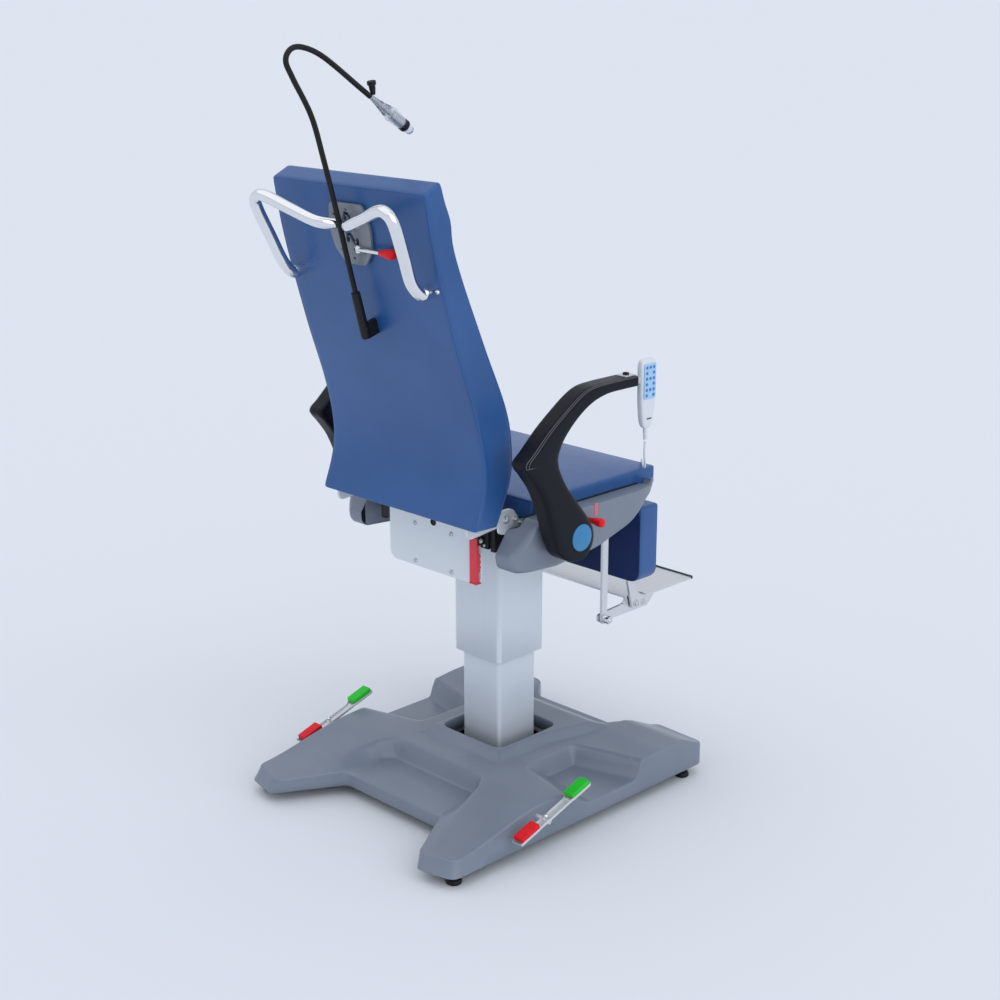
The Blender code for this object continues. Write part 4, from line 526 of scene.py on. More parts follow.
def other_half(half):
    """The mirror image of half an outline, in reverse order, so that it closes the outline."""
    return [(-row[0], *row[1:]) for row in reversed(half)]


def stroke(line, half):
    """The outline of a line drawn with a round pen."""
    line = np.asarray(line, float)
    along = unit(np.gradient(line, axis=0))
    side = np.column_stack([-along[:, 1], along[:, 0]])
    turn = np.linspace(0, np.pi, 10)[1:-1, None]
    tail = line[-1] + half * (side[-1] * np.cos(turn) + along[-1] * np.sin(turn))
    head = line[0] + half * (-side[0] * np.cos(turn) - along[0] * np.sin(turn))
    return np.vstack([line + side * half, tail, (line - side * half)[::-1], head])


def flat_plate(outline, thick, edge, holes=()):
    """A plate in its own (u, v) plane about w = 0, between an outline and holes, with its edges rounded."""
    curve = bpy.data.curves.new("outline", "CURVE")
    curve.dimensions = "2D"
    curve.fill_mode = "BOTH"
    curve.extrude = thick / 2 - edge
    curve.bevel_depth = edge
    curve.bevel_resolution = 2
    curve.offset = -edge
    for turn, loop in [(1, outline)] + [(-1, hole) for hole in holes]:
        loop = np.asarray(loop, float)
        after = np.roll(loop, -1, axis=0)
        area = (loop[:, 0] * after[:, 1] - after[:, 0] * loop[:, 1]).sum()
        loop = loop if area * turn > 0 else loop[::-1]
        spline = curve.splines.new("POLY")
        spline.points.add(len(loop) - 1)
        spline.points.foreach_set("co", np.column_stack([loop, 0 * loop[:, 0], 1 + 0 * loop[:, 0]]).ravel())
        spline.use_cyclic_u = True
    flat = bpy.data.objects.new("outline", curve)
    bpy.context.scene.collection.objects.link(flat)
    mesh = bpy.data.meshes.new_from_object(flat.evaluated_get(bpy.context.evaluated_depsgraph_get()))
    points = np.empty(3 * len(mesh.vertices))
    mesh.vertices.foreach_get("co", points)
    corners, starts, sizes = (np.empty(len(some), int) for some in (mesh.loops, mesh.polygons, mesh.polygons))
    mesh.loops.foreach_get("vertex_index", corners)
    mesh.polygons.foreach_get("loop_start", starts)
    mesh.polygons.foreach_get("loop_total", sizes)
    faces = [corners[starts[sizes == k][:, None] + np.arange(k)] for k in np.unique(sizes)]
    bpy.data.objects.remove(flat)
    bpy.data.curves.remove(curve)
    bpy.data.meshes.remove(mesh)
    return points.reshape(-1, 3), faces


def side_plate(outline, low, high, edge):
    """A flat plate in the (y, z) plane, between two places along X."""
    shape = flat_plate(outline, abs(high - low), edge)
    return onto(shape, ((low + high) / 2, 0, 0), Y_AXIS, Z_AXIS, X_AXIS)


def bolt(at, axis, radius, height):
    """A washer with a domed socket screw on it."""
    at, axis = np.asarray(at, float), np.asarray(axis, float)
    washer = lathe([(0, 0), (0, radius * 1.5), (height * 0.2, radius * 1.5), (height * 0.25, radius * 1.4),
                    (height * 0.25, 0)], at, axis)
    return together(washer, screw_head(at + axis * height * 0.25, axis, radius, height * 0.75))


# hand control's place on the right armrest, and the cord's route as in the solid
HANDSET_X = -0.331
HANDSET_Y = -0.109
HANDSET_TOP = 1.0262
HANDSET_FOOT = 0.8762
CORD_RADIUS = 0.0025
GLAND = (-0.178, -0.2676, 0.6952)
CORD_ROUTE = ((HANDSET_X, HANDSET_Y, 0.8459), (HANDSET_X, HANDSET_Y, 0.8387), (-0.3305, -0.1090, 0.8192),
              (-0.3220, -0.1210, 0.7962), (-0.2990, -0.1480, 0.7752), (-0.2660, -0.1830, 0.7652),
              (-0.2330, -0.2190, 0.7602), (-0.2080, -0.2460, 0.7552), (-0.1920, -0.2660, 0.7412),
              (-0.1840, -0.2765, 0.7212), (-0.1800, -0.2755, 0.7042), (GLAND[0], -0.2723, GLAND[2]), GLAND)


def build_cord():
    """Hanging cord: a circle carried along a smooth curve from the hand control to the seat frame."""
    path = smooth_line(np.array(CORD_ROUTE), 40)
    fine = smooth_line(path, 120)
    made = piece("handset_lead", None, "white_plastic", tube(fine, CORD_RADIUS, 14),
                 ("handset_cord",))
    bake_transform(made)


# backrest profile: (y, height above the seat frame) from the bottom up
BACK_REAR = ((0.308, 0.011), (0.284, 0.087), (0.281, 0.157), (0.303, 0.257),
             (0.350, 0.397), (0.402, 0.577), (0.427, 0.701))
BACK_FRONT = ((0.246, 0.009), (0.206, 0.097), (0.197, 0.162), (0.212, 0.252),
              (0.275, 0.397), (0.347, 0.572), (0.3855, 0.7215))
BACK_HALF = 0.2404
BACK_TOP_HALF = 0.2300
BACK_LENGTH = 0.740
BACK_THICK = 0.064
BACK_SWELL = 0.008
BACK_PULL = 0.0025
BACK_ROLL_RISE = 0.645
BACK_ROLL = 0.0075
BACK_ROLL_WIDTH = 0.030
PROFILE_STEPS = 800
SLOPE_STEP = 0.02
# head pad's place, the share of the swell that is taken away behind it, and the slot of its guide
HEAD_RISE = 0.600
HEAD_ROOM = 0.75
HEAD_ROOM_X = (0.160, 0.205)
HEAD_ROOM_RISE = (0.430, 0.480)
GUIDE_SLOT_HALF = 0.015
GUIDE_SLOT_REACH = 0.053
GUIDE_SLOT_DEPTH = 0.88


def back_profile(points, t):
    """(y, z) of one backrest face, t from 0 at the bottom to 1 at the top."""
    line = catmull(points, t * (len(points) - 1))
    return line + (0.0, SEAT_Z)


def back_line(points):
    """A backrest face's side view in fine steps, as depths and heights."""
    return back_profile(points, np.linspace(0, 1, PROFILE_STEPS)).T


def rear_at(rise):
    """Depth of the backrest's rear face at a height above the seat frame."""
    y, z = back_line(BACK_REAR)
    return float(np.interp(SEAT_Z + rise, z, y))


def back_frame(rise):
    """A point on the backrest's rear face, with its upward and rearward directions."""
    above, below = (rear_at(rise + step) for step in (SLOPE_STEP, -SLOPE_STEP))
    slope = (above - below) / (2 * SLOPE_STEP)
    up = unit(np.array((0.0, slope, 1.0)))
    return np.array((0.0, rear_at(rise), SEAT_Z + rise)), up, np.array((0.0, up[2], -up[1]))


def back_share(flat):
    """How far up the backrest each point of the flat block lies, from 0 to 1."""
    return np.clip(flat[:, 1] / BACK_LENGTH + 0.5, 0.0, 1.0)


def guide_slot(flat, spare=0.0):
    """Which points of the flat block lie within spare of the slot that the head pad's guide runs in."""
    rise = back_profile(BACK_FRONT, back_share(flat))[:, 1] - SEAT_Z
    return ((flat[:, 2] > 0) & (np.abs(flat[:, 0]) < GUIDE_SLOT_HALF + spare)
            & (np.abs(rise - HEAD_RISE) < GUIDE_SLOT_REACH + spare))


def back_shape(flat):
    """Flat block to backrest: x narrows upwards, the length follows both profiles, and the front swells.

    The swell fades behind the head pad, where the guide's slot is pressed in."""
    t = back_share(flat)
    w = flat[:, 2] / BACK_THICK + 0.5
    w = np.where(guide_slot(flat), 1.0 - GUIDE_SLOT_DEPTH, w)
    front = back_profile(BACK_FRONT, t)
    rear = back_profile(BACK_REAR, t)
    yz = rear + (front - rear) * w[:, None]
    half = BACK_HALF + (BACK_TOP_HALF - BACK_HALF) * t
    u = flat[:, 0] / BACK_HALF
    swell = BACK_SWELL * (1 - np.abs(u) ** 4) * (1 - np.abs(2 * t - 1) ** 6)
    roll = BACK_ROLL * np.exp(-((yz[:, 1] - SEAT_Z - BACK_ROLL_RISE) / BACK_ROLL_WIDTH) ** 2)
    room = (1 - ease(*HEAD_ROOM_X, np.abs(flat[:, 0]))) * ease(*HEAD_ROOM_RISE, yz[:, 1] - SEAT_Z)
    yz[:, 0] -= (swell + roll) * w * (1 - HEAD_ROOM * room)
    pull = BACK_PULL * (1 - (2 * t - 1) ** 2) * (1 - (2 * w - 1) ** 2)
    return np.column_stack([u * (half - pull), yz])


# cloth that a cushion's free face settles as
SETTLE_FRAMES = 20
SETTLE_PRESSURE = 4.0
CLOTH_STEPS = 6
CLOTH_MASS = 0.3
CLOTH_BENDING = 0.8


def settle(made, held, most):
    """Cloth under a little pressure: a cover's free face swells between held edges, no further than most."""
    count = len(made.data.vertices)
    before, after = np.empty(3 * count), np.empty(3 * count)
    made.data.vertices.foreach_get("co", before)
    made.vertex_groups.new(name="held").add(np.flatnonzero(held).tolist(), 1.0, "REPLACE")
    cloth = made.modifiers.new("settle", "CLOTH")
    cloth.point_cache.frame_end = SETTLE_FRAMES
    fabric = cloth.settings
    fabric.quality = CLOTH_STEPS
    fabric.mass = CLOTH_MASS
    fabric.bending_stiffness = CLOTH_BENDING
    fabric.use_pressure = True
    fabric.uniform_pressure_force = SETTLE_PRESSURE
    fabric.vertex_group_mass = "held"
    fabric.effector_weights.gravity = 0.0
    for step in range(1, SETTLE_FRAMES + 1):
        bpy.context.scene.frame_set(step)
    made.evaluated_get(bpy.context.evaluated_depsgraph_get()).data.vertices.foreach_get("co", after)
    made.modifiers.remove(cloth)
    made.vertex_groups.clear()
    bpy.context.scene.frame_set(1)
    move = (after - before).reshape(-1, 3)
    size = np.linalg.norm(move, axis=1, keepdims=True)
    move *= most * np.tanh(size / most) / np.maximum(size, 1e-9)
    made.data.vertices.foreach_set("co", before + move.ravel())
    made.data.update()


# cushions: edge radii, welts, and the held border counted in edge radii; then each one's half sizes and place
CUSHION_EDGE = 0.007
HEAD_EDGE = 0.009
WELT_RADIUS = 0.0014
HELD_BORDER = 1.5
SLOT_SPARE = 0.012
SEAT_HALF = (0.240, 0.198, 0.0215)
SEAT_MIDDLE = -0.057
SEAT_GAP = 0.0003
SEAT_PULL = 0.0035
SEAT_CROWN = 0.006
LEG_HALF = (0.240, 0.0905, 0.030)
LEG_MIDDLE = (-0.240, 0.5645)
LEG_CORNER = 0.030
LEG_CROWN = 0.003
HEAD_HALF = (0.150, 0.075, 0.016)
HEAD_STAND_OFF = 0.0105
HEAD_SLANT = 0.985
HEAD_THICK = 0.028
HEAD_CROWN = 0.008


def cushion(name, body, node, half, radius, counts, shape, seams, most, kept=None):
    """A tight foam cushion: a rounded block bent by shape and settled as cloth, with welts on its edges."""
    points, faces = rounded_block(half, radius, counts)
    made = piece(name, body, "blue_leather", (shape(points), faces), (node,))
    inside = np.abs(points[:, :2]) < np.array(half[:2]) - HELD_BORDER * radius
    free = (points[:, 2] > half[2] - 1e-6) & inside.all(axis=1)
    if kept is not None:
        free &= ~kept(points, SLOT_SPARE)
    settle(made, ~free, most)
    loops = [closed_tube(shape(edge_loop(half, radius, w)), WELT_RADIUS) for w in seams]
    piece(f"{name}_welt", body, "blue_piping", together(*loops))


def seat_shape(flat):
    """Flat block to seat: sides pulled in between the corners, top crowned."""
    u, v, w = (flat / SEAT_HALF).T
    w = (w + 1) / 2
    pull = SEAT_PULL * (1 - (2 * w - 1) ** 2)
    crown = SEAT_CROWN * (1 - u ** 4) * (1 - v ** 4) * w
    x = flat[:, 0] - u * pull * (1 - v * v)
    y = SEAT_MIDDLE + flat[:, 1] - v * pull * (1 - u * u)
    return np.column_stack([x, y, SEAT_Z + SEAT_GAP + 2 * SEAT_HALF[2] * w + crown])


def leg_shape(flat):
    """Flat block to leg pad, standing on edge: rounded lower corners, faces crowned a little."""
    u, v, w = (flat / LEG_HALF).T
    inner = np.maximum(np.abs(flat[:, 0]) - (LEG_HALF[0] - LEG_CORNER), 0.0)
    low = np.maximum(-flat[:, 1] - (LEG_HALF[1] - LEG_CORNER), 0.0)
    cut = np.maximum(inner, low) / np.maximum(np.hypot(inner, low), 1e-9)
    cut = np.where((inner > 0) & (low > 0), cut, 1.0)
    x = np.sign(flat[:, 0]) * (np.abs(flat[:, 0]) - inner * (1 - cut))
    z = flat[:, 1] + low * (1 - cut)
    crown = LEG_CROWN * (1 - u ** 4) * (1 - v ** 4) * w
    return np.column_stack([x, LEG_MIDDLE[0] - flat[:, 2] - np.maximum(crown, 0.0), LEG_MIDDLE[1] + z])


def head_shape(flat):
    """Flat block to head pad, following the backrest's front a little way off it."""
    rise = HEAD_RISE + flat[:, 1] * HEAD_SLANT
    front_y, front_z = back_line(BACK_FRONT)
    y = np.interp(SEAT_Z + rise, front_z, front_y)
    slope = np.interp(SEAT_Z + rise, front_z, np.gradient(front_y, front_z))
    u, v, w = (flat / HEAD_HALF).T
    w = (w + 1) / 2
    lift = HEAD_STAND_OFF + w * (HEAD_THICK + HEAD_CROWN * (1 - u ** 4) * (1 - v ** 4))
    size = np.hypot(slope, 1.0)
    return np.column_stack([flat[:, 0], y - lift / size, SEAT_Z + rise + lift * slope / size])


def build_cushions():
    """Backrest, seat, leg pad and head pad."""
    half = (BACK_HALF, BACK_LENGTH / 2, BACK_THICK / 2)
    cushion("backrest_upholstery", "backrest", "backrest_cushion", half, CUSHION_EDGE, (40, 70, 6),
            back_shape, (-half[2], half[2]), 0.0025, kept=guide_slot)
    cushion("seat_upholstery", "seat", "seat_cushion", SEAT_HALF, CUSHION_EDGE, (44, 38, 4), seat_shape,
            (SEAT_HALF[2],), 0.004)
    cushion("legrest_upholstery", "legrest", "legrest_pad", LEG_HALF, CUSHION_EDGE, (44, 18, 6), leg_shape,
            (-LEG_HALF[2], LEG_HALF[2]), 0.003)
    cushion("head_pad_upholstery", "head_pad", "head_pad", HEAD_HALF, HEAD_EDGE, (30, 16, 3), head_shape,
            (-0.3 * HEAD_HALF[2], HEAD_HALF[2]), 0.003)


# base: heights of its deck and its plan, as in the solid below it
DECK_Z = 0.104
PAN_Z = 0.060
COLLAR_Z = 0.122
COLLAR_DEPTH = 0.030
COLLAR_LIP = 0.003
COLLAR_RIM = 0.010
COLLAR_FLANK = 0.022
COLLAR_FRONT_Y = -0.195
COLLAR_SPREAD = 0.040
OPENING_HALF = 0.097
OPENING_ROUND = 9
DECK_START = OPENING_HALF + 0.005
BASE_BOTTOM = 0.026
BASE_FOOT_EDGE = 0.002
BASE_WALL = 0.003
BASE_AROUND = 360
BASE_RINGS = 108
TRUE_ANGLE_SHARE = 0.45
BASE_EDGE = 0.006
BASE_DRAFT = 0.015
DRAFT_X = (0.155, 0.244)
DRAFT_Y = (0.05, 0.25)
BASE_CORNER = 0.022
BASE_TIP_Y = 0.468
BASE_FRONT_Y = -0.345
BASE_SIDE_X = 0.344
PAN_INNER_X = 0.170
PAN_INNER_Y = 0.190
PAN_FLANK = 0.016
PAN_SIDE_REAR = (0.032, 0.062)
PAN_SIDE_REAR_TOP = (0.088, 0.135)
PAN_SIDE_FRONT = (-0.052, -0.098)
PAN_END_HALF = (0.120, 0.148, 0.150, 0.240)
PAN_END_HALF_TOP = (0.138, 0.166, 0.200, 0.262)
PAN_END_AT = (0.190, 0.231, 0.335, 0.490)
BASE_HALF_PLAN = ((0.155, 0.335), (0.244, 0.490), (0.337, BASE_TIP_Y), (BASE_SIDE_X, -0.335),
                  (0.190, BASE_FRONT_Y), (0.155, -0.295))
# rise of the deck, and the two places along Y between which it comes in
DECK_SLOPES = ((-0.042, 0.175, BASE_TIP_Y), (0.005, -0.110, -0.190), (-0.032, -0.240, BASE_FRONT_Y))


def bevel(start, end, value, soft=0.10):
    """0 before start, 1 after end, straight between, with narrow rounded corners."""
    t = (value - start) / (end - start)
    return (np.sqrt(t * t + soft * soft) - np.sqrt((t - 1) ** 2 + soft * soft) + 1) / 2


def base_height(x, y):
    """Deck height: sloping legs, front humps and sunk pans round a raised collar."""
    x = np.abs(x)
    deck = sum((rise * ease(start, end, y) for rise, start, end in DECK_SLOPES), DECK_Z)
    across = (PAN_INNER_X, BASE_SIDE_X)
    front = np.interp(x, across, PAN_SIDE_FRONT)
    side = bevel(PAN_INNER_X, PAN_INNER_X + PAN_FLANK, x) * bevel(front - PAN_FLANK, front, y)
    side = side * bevel(np.interp(x, across, PAN_SIDE_REAR_TOP), np.interp(x, across, PAN_SIDE_REAR), y)
    end = bevel(PAN_INNER_Y, PAN_INNER_Y + PAN_FLANK, np.abs(y))
    end = end * bevel(np.interp(np.abs(y), PAN_END_AT, PAN_END_HALF_TOP),
                      np.interp(np.abs(y), PAN_END_AT, PAN_END_HALF), x)
    deck = deck + (np.minimum(PAN_Z, deck) - deck) * np.clip(np.maximum(side, end), 0, 1)
    rim = OPENING_HALF + COLLAR_RIM
    reach = rim + COLLAR_FLANK
    spread = COLLAR_SPREAD * ease(0.0, COLLAR_FRONT_Y, y)
    collar = 1 - bevel(rim, reach, np.maximum(np.maximum(x - spread, y), y * reach / COLLAR_FRONT_Y))
    return deck + (COLLAR_Z - deck) * np.clip(collar, 0, 1)


def build_base():
    """Moulded base: rings from the collar's lip out over the deck and down the wall."""
    half = [(u, v, BASE_CORNER) for u, v in BASE_HALF_PLAN]
    rear, front = ((0.0, half[i][1], 0.0) for i in (0, -1))
    outline = rounded_outline([rear, *half, front, *other_half(half)])
    outline = even(np.vstack([outline, outline[:1]]), BASE_AROUND + 1)[:-1]
    along = unit(np.roll(outline, -1, axis=0) - np.roll(outline, 1, axis=0))
    inward = np.column_stack([along[:, 1], -along[:, 0]])
    draft = BASE_DRAFT * ease(*DRAFT_Y, outline[:, 1]) * ease(*DRAFT_X, np.abs(outline[:, 0]))
    drawn = outline - unit(outline) * draft[:, None]
    edge = drawn + inward * BASE_EDGE
    angle = np.minimum.accumulate(np.unwrap(np.arctan2(outline[:, 1], outline[:, 0])))
    steady = np.linspace(np.pi / 2, -1.5 * np.pi, len(outline), endpoint=False)
    turn = TRUE_ANGLE_SHARE * angle + (1 - TRUE_ANGLE_SHARE) * steady
    way = np.column_stack([np.cos(turn), np.sin(turn)])
    reach = (np.abs(way) ** OPENING_ROUND).sum(axis=1) ** (-1 / OPENING_ROUND)
    rings = []

    def ring(plan, z):
        """Add a ring: a plan at one height, or at a height for each point."""
        rings.append(np.column_stack([plan, np.broadcast_to(z, (len(plan),))]))

    def square(half_size):
        """The opening's rounded square at a half size."""
        return way * (half_size * reach)[:, None]

    ring(square(OPENING_HALF), COLLAR_Z - COLLAR_DEPTH)
    for turned in np.linspace(0, np.pi / 2, 5):
        ring(square(OPENING_HALF + COLLAR_LIP * (1 - math.cos(turned))),
             COLLAR_Z - COLLAR_LIP * (1 - math.sin(turned)))
    start = square(DECK_START)
    for share in np.linspace(0, 1, BASE_RINGS):
        plan = start + (edge - start) * share
        ring(plan, base_height(*plan.T))
    brim = base_height(*edge.T)
    for turned in np.linspace(0.2, np.pi / 2, 6):
        ring(edge + (drawn - edge) * math.sin(turned), brim - BASE_EDGE * (1 - math.cos(turned)))
    ring((drawn + outline) / 2, (brim - BASE_EDGE + BASE_BOTTOM) / 2)
    ring(outline, BASE_BOTTOM + BASE_FOOT_EDGE)
    ring(outline + inward * BASE_FOOT_EDGE, BASE_BOTTOM)
    cover = piece("base_shell", "base", "grey_shell", rows_to_mesh(rings, caps=False),
                  ("base_cover",), outward=False, sharp=60.0)
    wall = cover.modifiers.new("wall", "SOLIDIFY")
    wall.thickness = BASE_WALL
    wall.offset = -1


# levelling feet: place along the chair, x, y
FOOT_PLACES = (("front", 0.318, -0.288), ("rear", 0.305, 0.438))
FOOT_PAD = ((0.0, 0.0155), (0.002, 0.0168), (0.007, 0.0165), (0.011, 0.0135), (0.013, 0.0080))
FOOT_NUT_Z = 0.0130
FOOT_STEM_Z = 0.0185


def build_feet():
    """Levelling feet: a rubber pad turned about its stem, with a locking nut."""
    for place, x, y in FOOT_PLACES:
        for side, sign in SIDES:
            pad = smooth_lathe(FOOT_PAD, (sign * x, y, 0.0), Z_AXIS)
            piece(f"levelling_pad_{place}_{side}", "base", "black_rubber", pad,
                  (f"levelling_foot_{place}_{side}",))
            nut = together(hexagon((sign * x, y, FOOT_NUT_Z), Z_AXIS, 0.017, 0.006),
                           rod((sign * x, y, FOOT_STEM_Z), Z_AXIS, 0.005, 0.022))
            piece(f"levelling_stem_{place}_{side}", "base", "zinc", nut)


# pedals: places along the strip are counted forward from the pivot
PEDAL_PIVOT = (0.215, 0.080)
PEDAL_X = 0.358
PEDAL_TILT = math.radians(17.5)
PEDAL_PADS = (("green", 0.102, "green_rubber", "green_plastic"),
              ("red", -0.060, "red_plastic", "red_plastic"))
PEDAL_PAD_HALF = (0.0132, 0.028, 0.0055)
PEDAL_PAD_EDGE = 0.0022
PEDAL_PAD_LIFT = 0.0092
# relief of the pads: height, and radians a metre of its waves
STUD_HEIGHT = 0.0009
STUD_RATE = 1000
RIB_HEIGHT = 0.0006
RIB_RATE = 900
# pedal strip: (place along it, lift) and half its section, then its shaft and the castor's crank
STRIP_LINE = ((-0.0935, 0.0125), (-0.0915, 0.0095), (-0.088, 0.0080), (-0.034, 0.0080), (-0.026, 0.0070),
              (-0.018, 0.0055), (0.060, 0.0055), (0.068, 0.0070), (0.076, 0.0080), (0.126, 0.0080),
              (0.1300, 0.0095), (0.1320, 0.0125))
STRIP_HALF_SECTION = ((0.0130, -0.0022), (0.0140, -0.0012), (0.0140, 0.0030), (0.0135, 0.004),
                      (0.0125, 0.004), (0.0120, 0.0032), (0.0118, -0.0002))
STRIP_DROP = 0.0018
STRIP_WAIST = 0.24
PEDAL_SHAFT_X = (0.240, 0.300, 0.3660)
CASTOR_AXLE = (PEDAL_PIVOT[0] - 0.045, PEDAL_PIVOT[1] - 0.047)
CASTOR_AXLE_X = (0.2690, 0.2965)
CRANK_X = (0.266, 0.272)


def build_pedal(side, sign):
    """Pedal: a bent steel strip under a studded and a ribbed pad, its shaft, and the crank of the castor."""
    body = f"pedal_{side}"
    pivot = np.array((sign * PEDAL_X, *PEDAL_PIVOT))
    forward = np.array((0.0, -math.cos(PEDAL_TILT), math.sin(PEDAL_TILT)))
    upward = np.array((0.0, math.sin(PEDAL_TILT), math.cos(PEDAL_TILT)))
    for colour, reach, finish, slot in PEDAL_PADS:
        points, faces = rounded_block(PEDAL_PAD_HALF, PEDAL_PAD_EDGE, (14, 30, 2))
        u, v = points[:, 0], points[:, 1]
        relief = STUD_HEIGHT * np.maximum(0, np.cos(u * STUD_RATE) * np.cos(v * STUD_RATE))
        if colour == "red":
            relief = RIB_HEIGHT * np.cos(v * RIB_RATE)
        points[:, 2] += np.where(points[:, 2] > PEDAL_PAD_HALF[2] - 0.001, relief, 0.0)
        at = pivot + forward * reach + upward * (PEDAL_PAD_LIFT + PEDAL_PAD_HALF[2])
        tread = onto((points, faces), at, X_AXIS, forward, upward)
        piece(f"pedal_tread_{colour}_{side}", body, finish, tread, (f"pedal_pad_{colour}_{side}",))

    t, lift = smooth_line(np.array(STRIP_LINE), 90).T[..., None]
    u, v = np.array([*STRIP_HALF_SECTION, *other_half(STRIP_HALF_SECTION)]).T
    waist = 1 - STRIP_WAIST * (ease(-0.036, -0.022, t) - ease(0.064, 0.078, t))
    rows = np.stack([u * waist, t + 0 * u, lift - STRIP_DROP + v], -1)
    strip = onto(rows_to_mesh(rows), pivot, X_AXIS, forward, upward)
    shaft = tube([(sign * x, *PEDAL_PIVOT) for x in PEDAL_SHAFT_X], 0.006, 24)
    crank_line = stroke(np.linspace(PEDAL_PIVOT, CASTOR_AXLE, 6), 0.0085)
    crank = side_plate(crank_line, sign * CRANK_X[0], sign * CRANK_X[1], 0.001)
    axle = tube([(sign * x, *CASTOR_AXLE) for x in CASTOR_AXLE_X], 0.005, 20)
    piece(f"pedal_strip_{side}", body, "pedal_steel", together(strip, shaft, crank, axle),
          (f"pedal_shaft_{side}",), sharp=35.0)
    knob = smooth_lathe([(0, 0.0035), (0.003, 0.0052), (0.007, 0.0052), (0.0095, 0.0030)],
                        pivot + upward * 0.0075, upward, 24, 24)
    piece(f"pedal_screw_{side}", body, "chrome", knob)


# column tubes: name, node, body, half width, corner, lower and upper end
COLUMN_TUBES = (("column_inner_sleeve", "column_inner_tube", "base", 0.060, 0.010, 0.0495, 0.460),
                ("column_outer_sleeve", "column_outer_tube", "seat", 0.0735, 0.012, 0.3125, 0.6547))
COLUMN_WALL = 0.004
COLUMN_EDGE = 0.001


def build_column():
    """Two telescoping tubes: a rounded square carried up, with turned-in lips, and down again inside."""
    for name, node, body, half, corner, low, high in COLUMN_TUBES:
        outer = oblong(half, half, corner)
        steps = [(COLUMN_WALL, low), (COLUMN_EDGE, low), (0.0003, low + 0.0004), (0.0, low + COLUMN_EDGE),
                 (0.0, (low + high) / 2), (0.0, high - COLUMN_EDGE), (COLUMN_EDGE, high), (COLUMN_WALL, high),
                 (COLUMN_WALL, high - 0.0002), (COLUMN_WALL, low + 0.0002)]
        rows = [np.column_stack([outer * (1 - draw / half), np.full(len(outer), z)]) for draw, z in steps]
        shape = np.vstack(rows), [quads(len(rows), len(outer), looped=True)]
        piece(name, body, "grey_paint", shape, (node,), sharp=30.0)


# side covers: side view relative to the seat frame's height, each corner with its radius
COVER_CORNERS = ((-0.206, 0.013, 0.0), (0.165, 0.013, 0.005), (0.183, -0.003, 0.006), (0.226, -0.062, 0.012),
                 (0.221, -0.095, 0.022), (0.100, -0.104, 0.150), (-0.030, -0.091, 0.200),
                 (-0.130, -0.058, 0.150), (-0.204, -0.006, 0.010), (-0.224, 0.018, 0.004),
                 (-0.222, 0.030, 0.0035))
COVER_INSIDE = 0.214
COVER_RIM_X = 0.2428
COVER_OUTSIDE = 0.285
COVER_WALL = 0.0028
COVER_END = 0.002
COVER_LOW_ROUND = 0.014
COVER_CREASE = SEAT_Z - 0.018
COVER_LEAN = 0.009
COVER_LEAN_HEIGHT = 0.085
COVER_NOSE = 0.034
COVER_NOSE_LENGTH = 0.060
COVER_NOSE_ROUND = 0.98
COVER_TIP = 0.022
COVER_TIP_Y = -0.120
COVER_TIP_LENGTH = 0.104
COVER_TIP_RIM = 0.006
COVER_TIP_RIM_RUN = (-0.196, -0.212)
COVER_RIM_END = (0.1825, 0.192)
COVER_TOP_ROUND = 0.004
COVER_REAR_ROUND = 0.010
COVER_REAR_RUN = (0.150, 0.190)
# black rubber tube along the cushion that paints the shadow in its gap to the cover, and the flat panel
# inside a cover's rear part
SHADE_LINE_RUN = (-0.194, 0.162)
SHADE_LINE_X = 0.2400
SHADE_LINE_RISE = 0.0128
SHADE_LINE_RADIUS = 0.0028
PANEL_RUN = (0.110, 0.212)
PANEL_X = (0.2143, 0.2165)
PANEL_DROP = 0.012


def cover_lean(z):
    """How far the face of a cover leans in below its crease, eased in over a height."""
    return COVER_LEAN * ease(COVER_CREASE, COVER_CREASE - COVER_LEAN_HEIGHT, z)


def cover_path(top, bottom, inside_top, outside, round_top):
    """The C-shaped section of a cover, from its upper rim round its face to its lower rim."""
    height = np.maximum(top - bottom, 1e-5)
    r_low = np.minimum(COVER_LOW_ROUND, 0.4 * height)
    r_top = np.minimum(np.minimum(round_top, 0.4 * height), (outside - inside_top) * 0.6)
    turn = np.linspace(0, np.pi / 2, 7)[None]
    part = np.linspace(0, 1, 5)[None]
    down = np.linspace(0, 1, 16)[None]
    face_z = (top - r_top) + (bottom + r_low - top + r_top) * down
    face_x = outside - cover_lean(face_z)
    low_x, high_x = outside - cover_lean(bottom + r_low), face_x[:, :1]
    x = [inside_top + (high_x - r_top - inside_top) * part, high_x - r_top + r_top * np.sin(turn), face_x,
         low_x - r_low + r_low * np.cos(turn), low_x - r_low + (COVER_INSIDE - low_x + r_low) * part]
    z = [top + 0 * part, top - r_top + r_top * np.cos(turn), face_z, bottom + r_low - r_low * np.sin(turn),
         bottom + 0 * part]
    return np.stack([np.concatenate(x, axis=1), np.concatenate(z, axis=1)], -1)


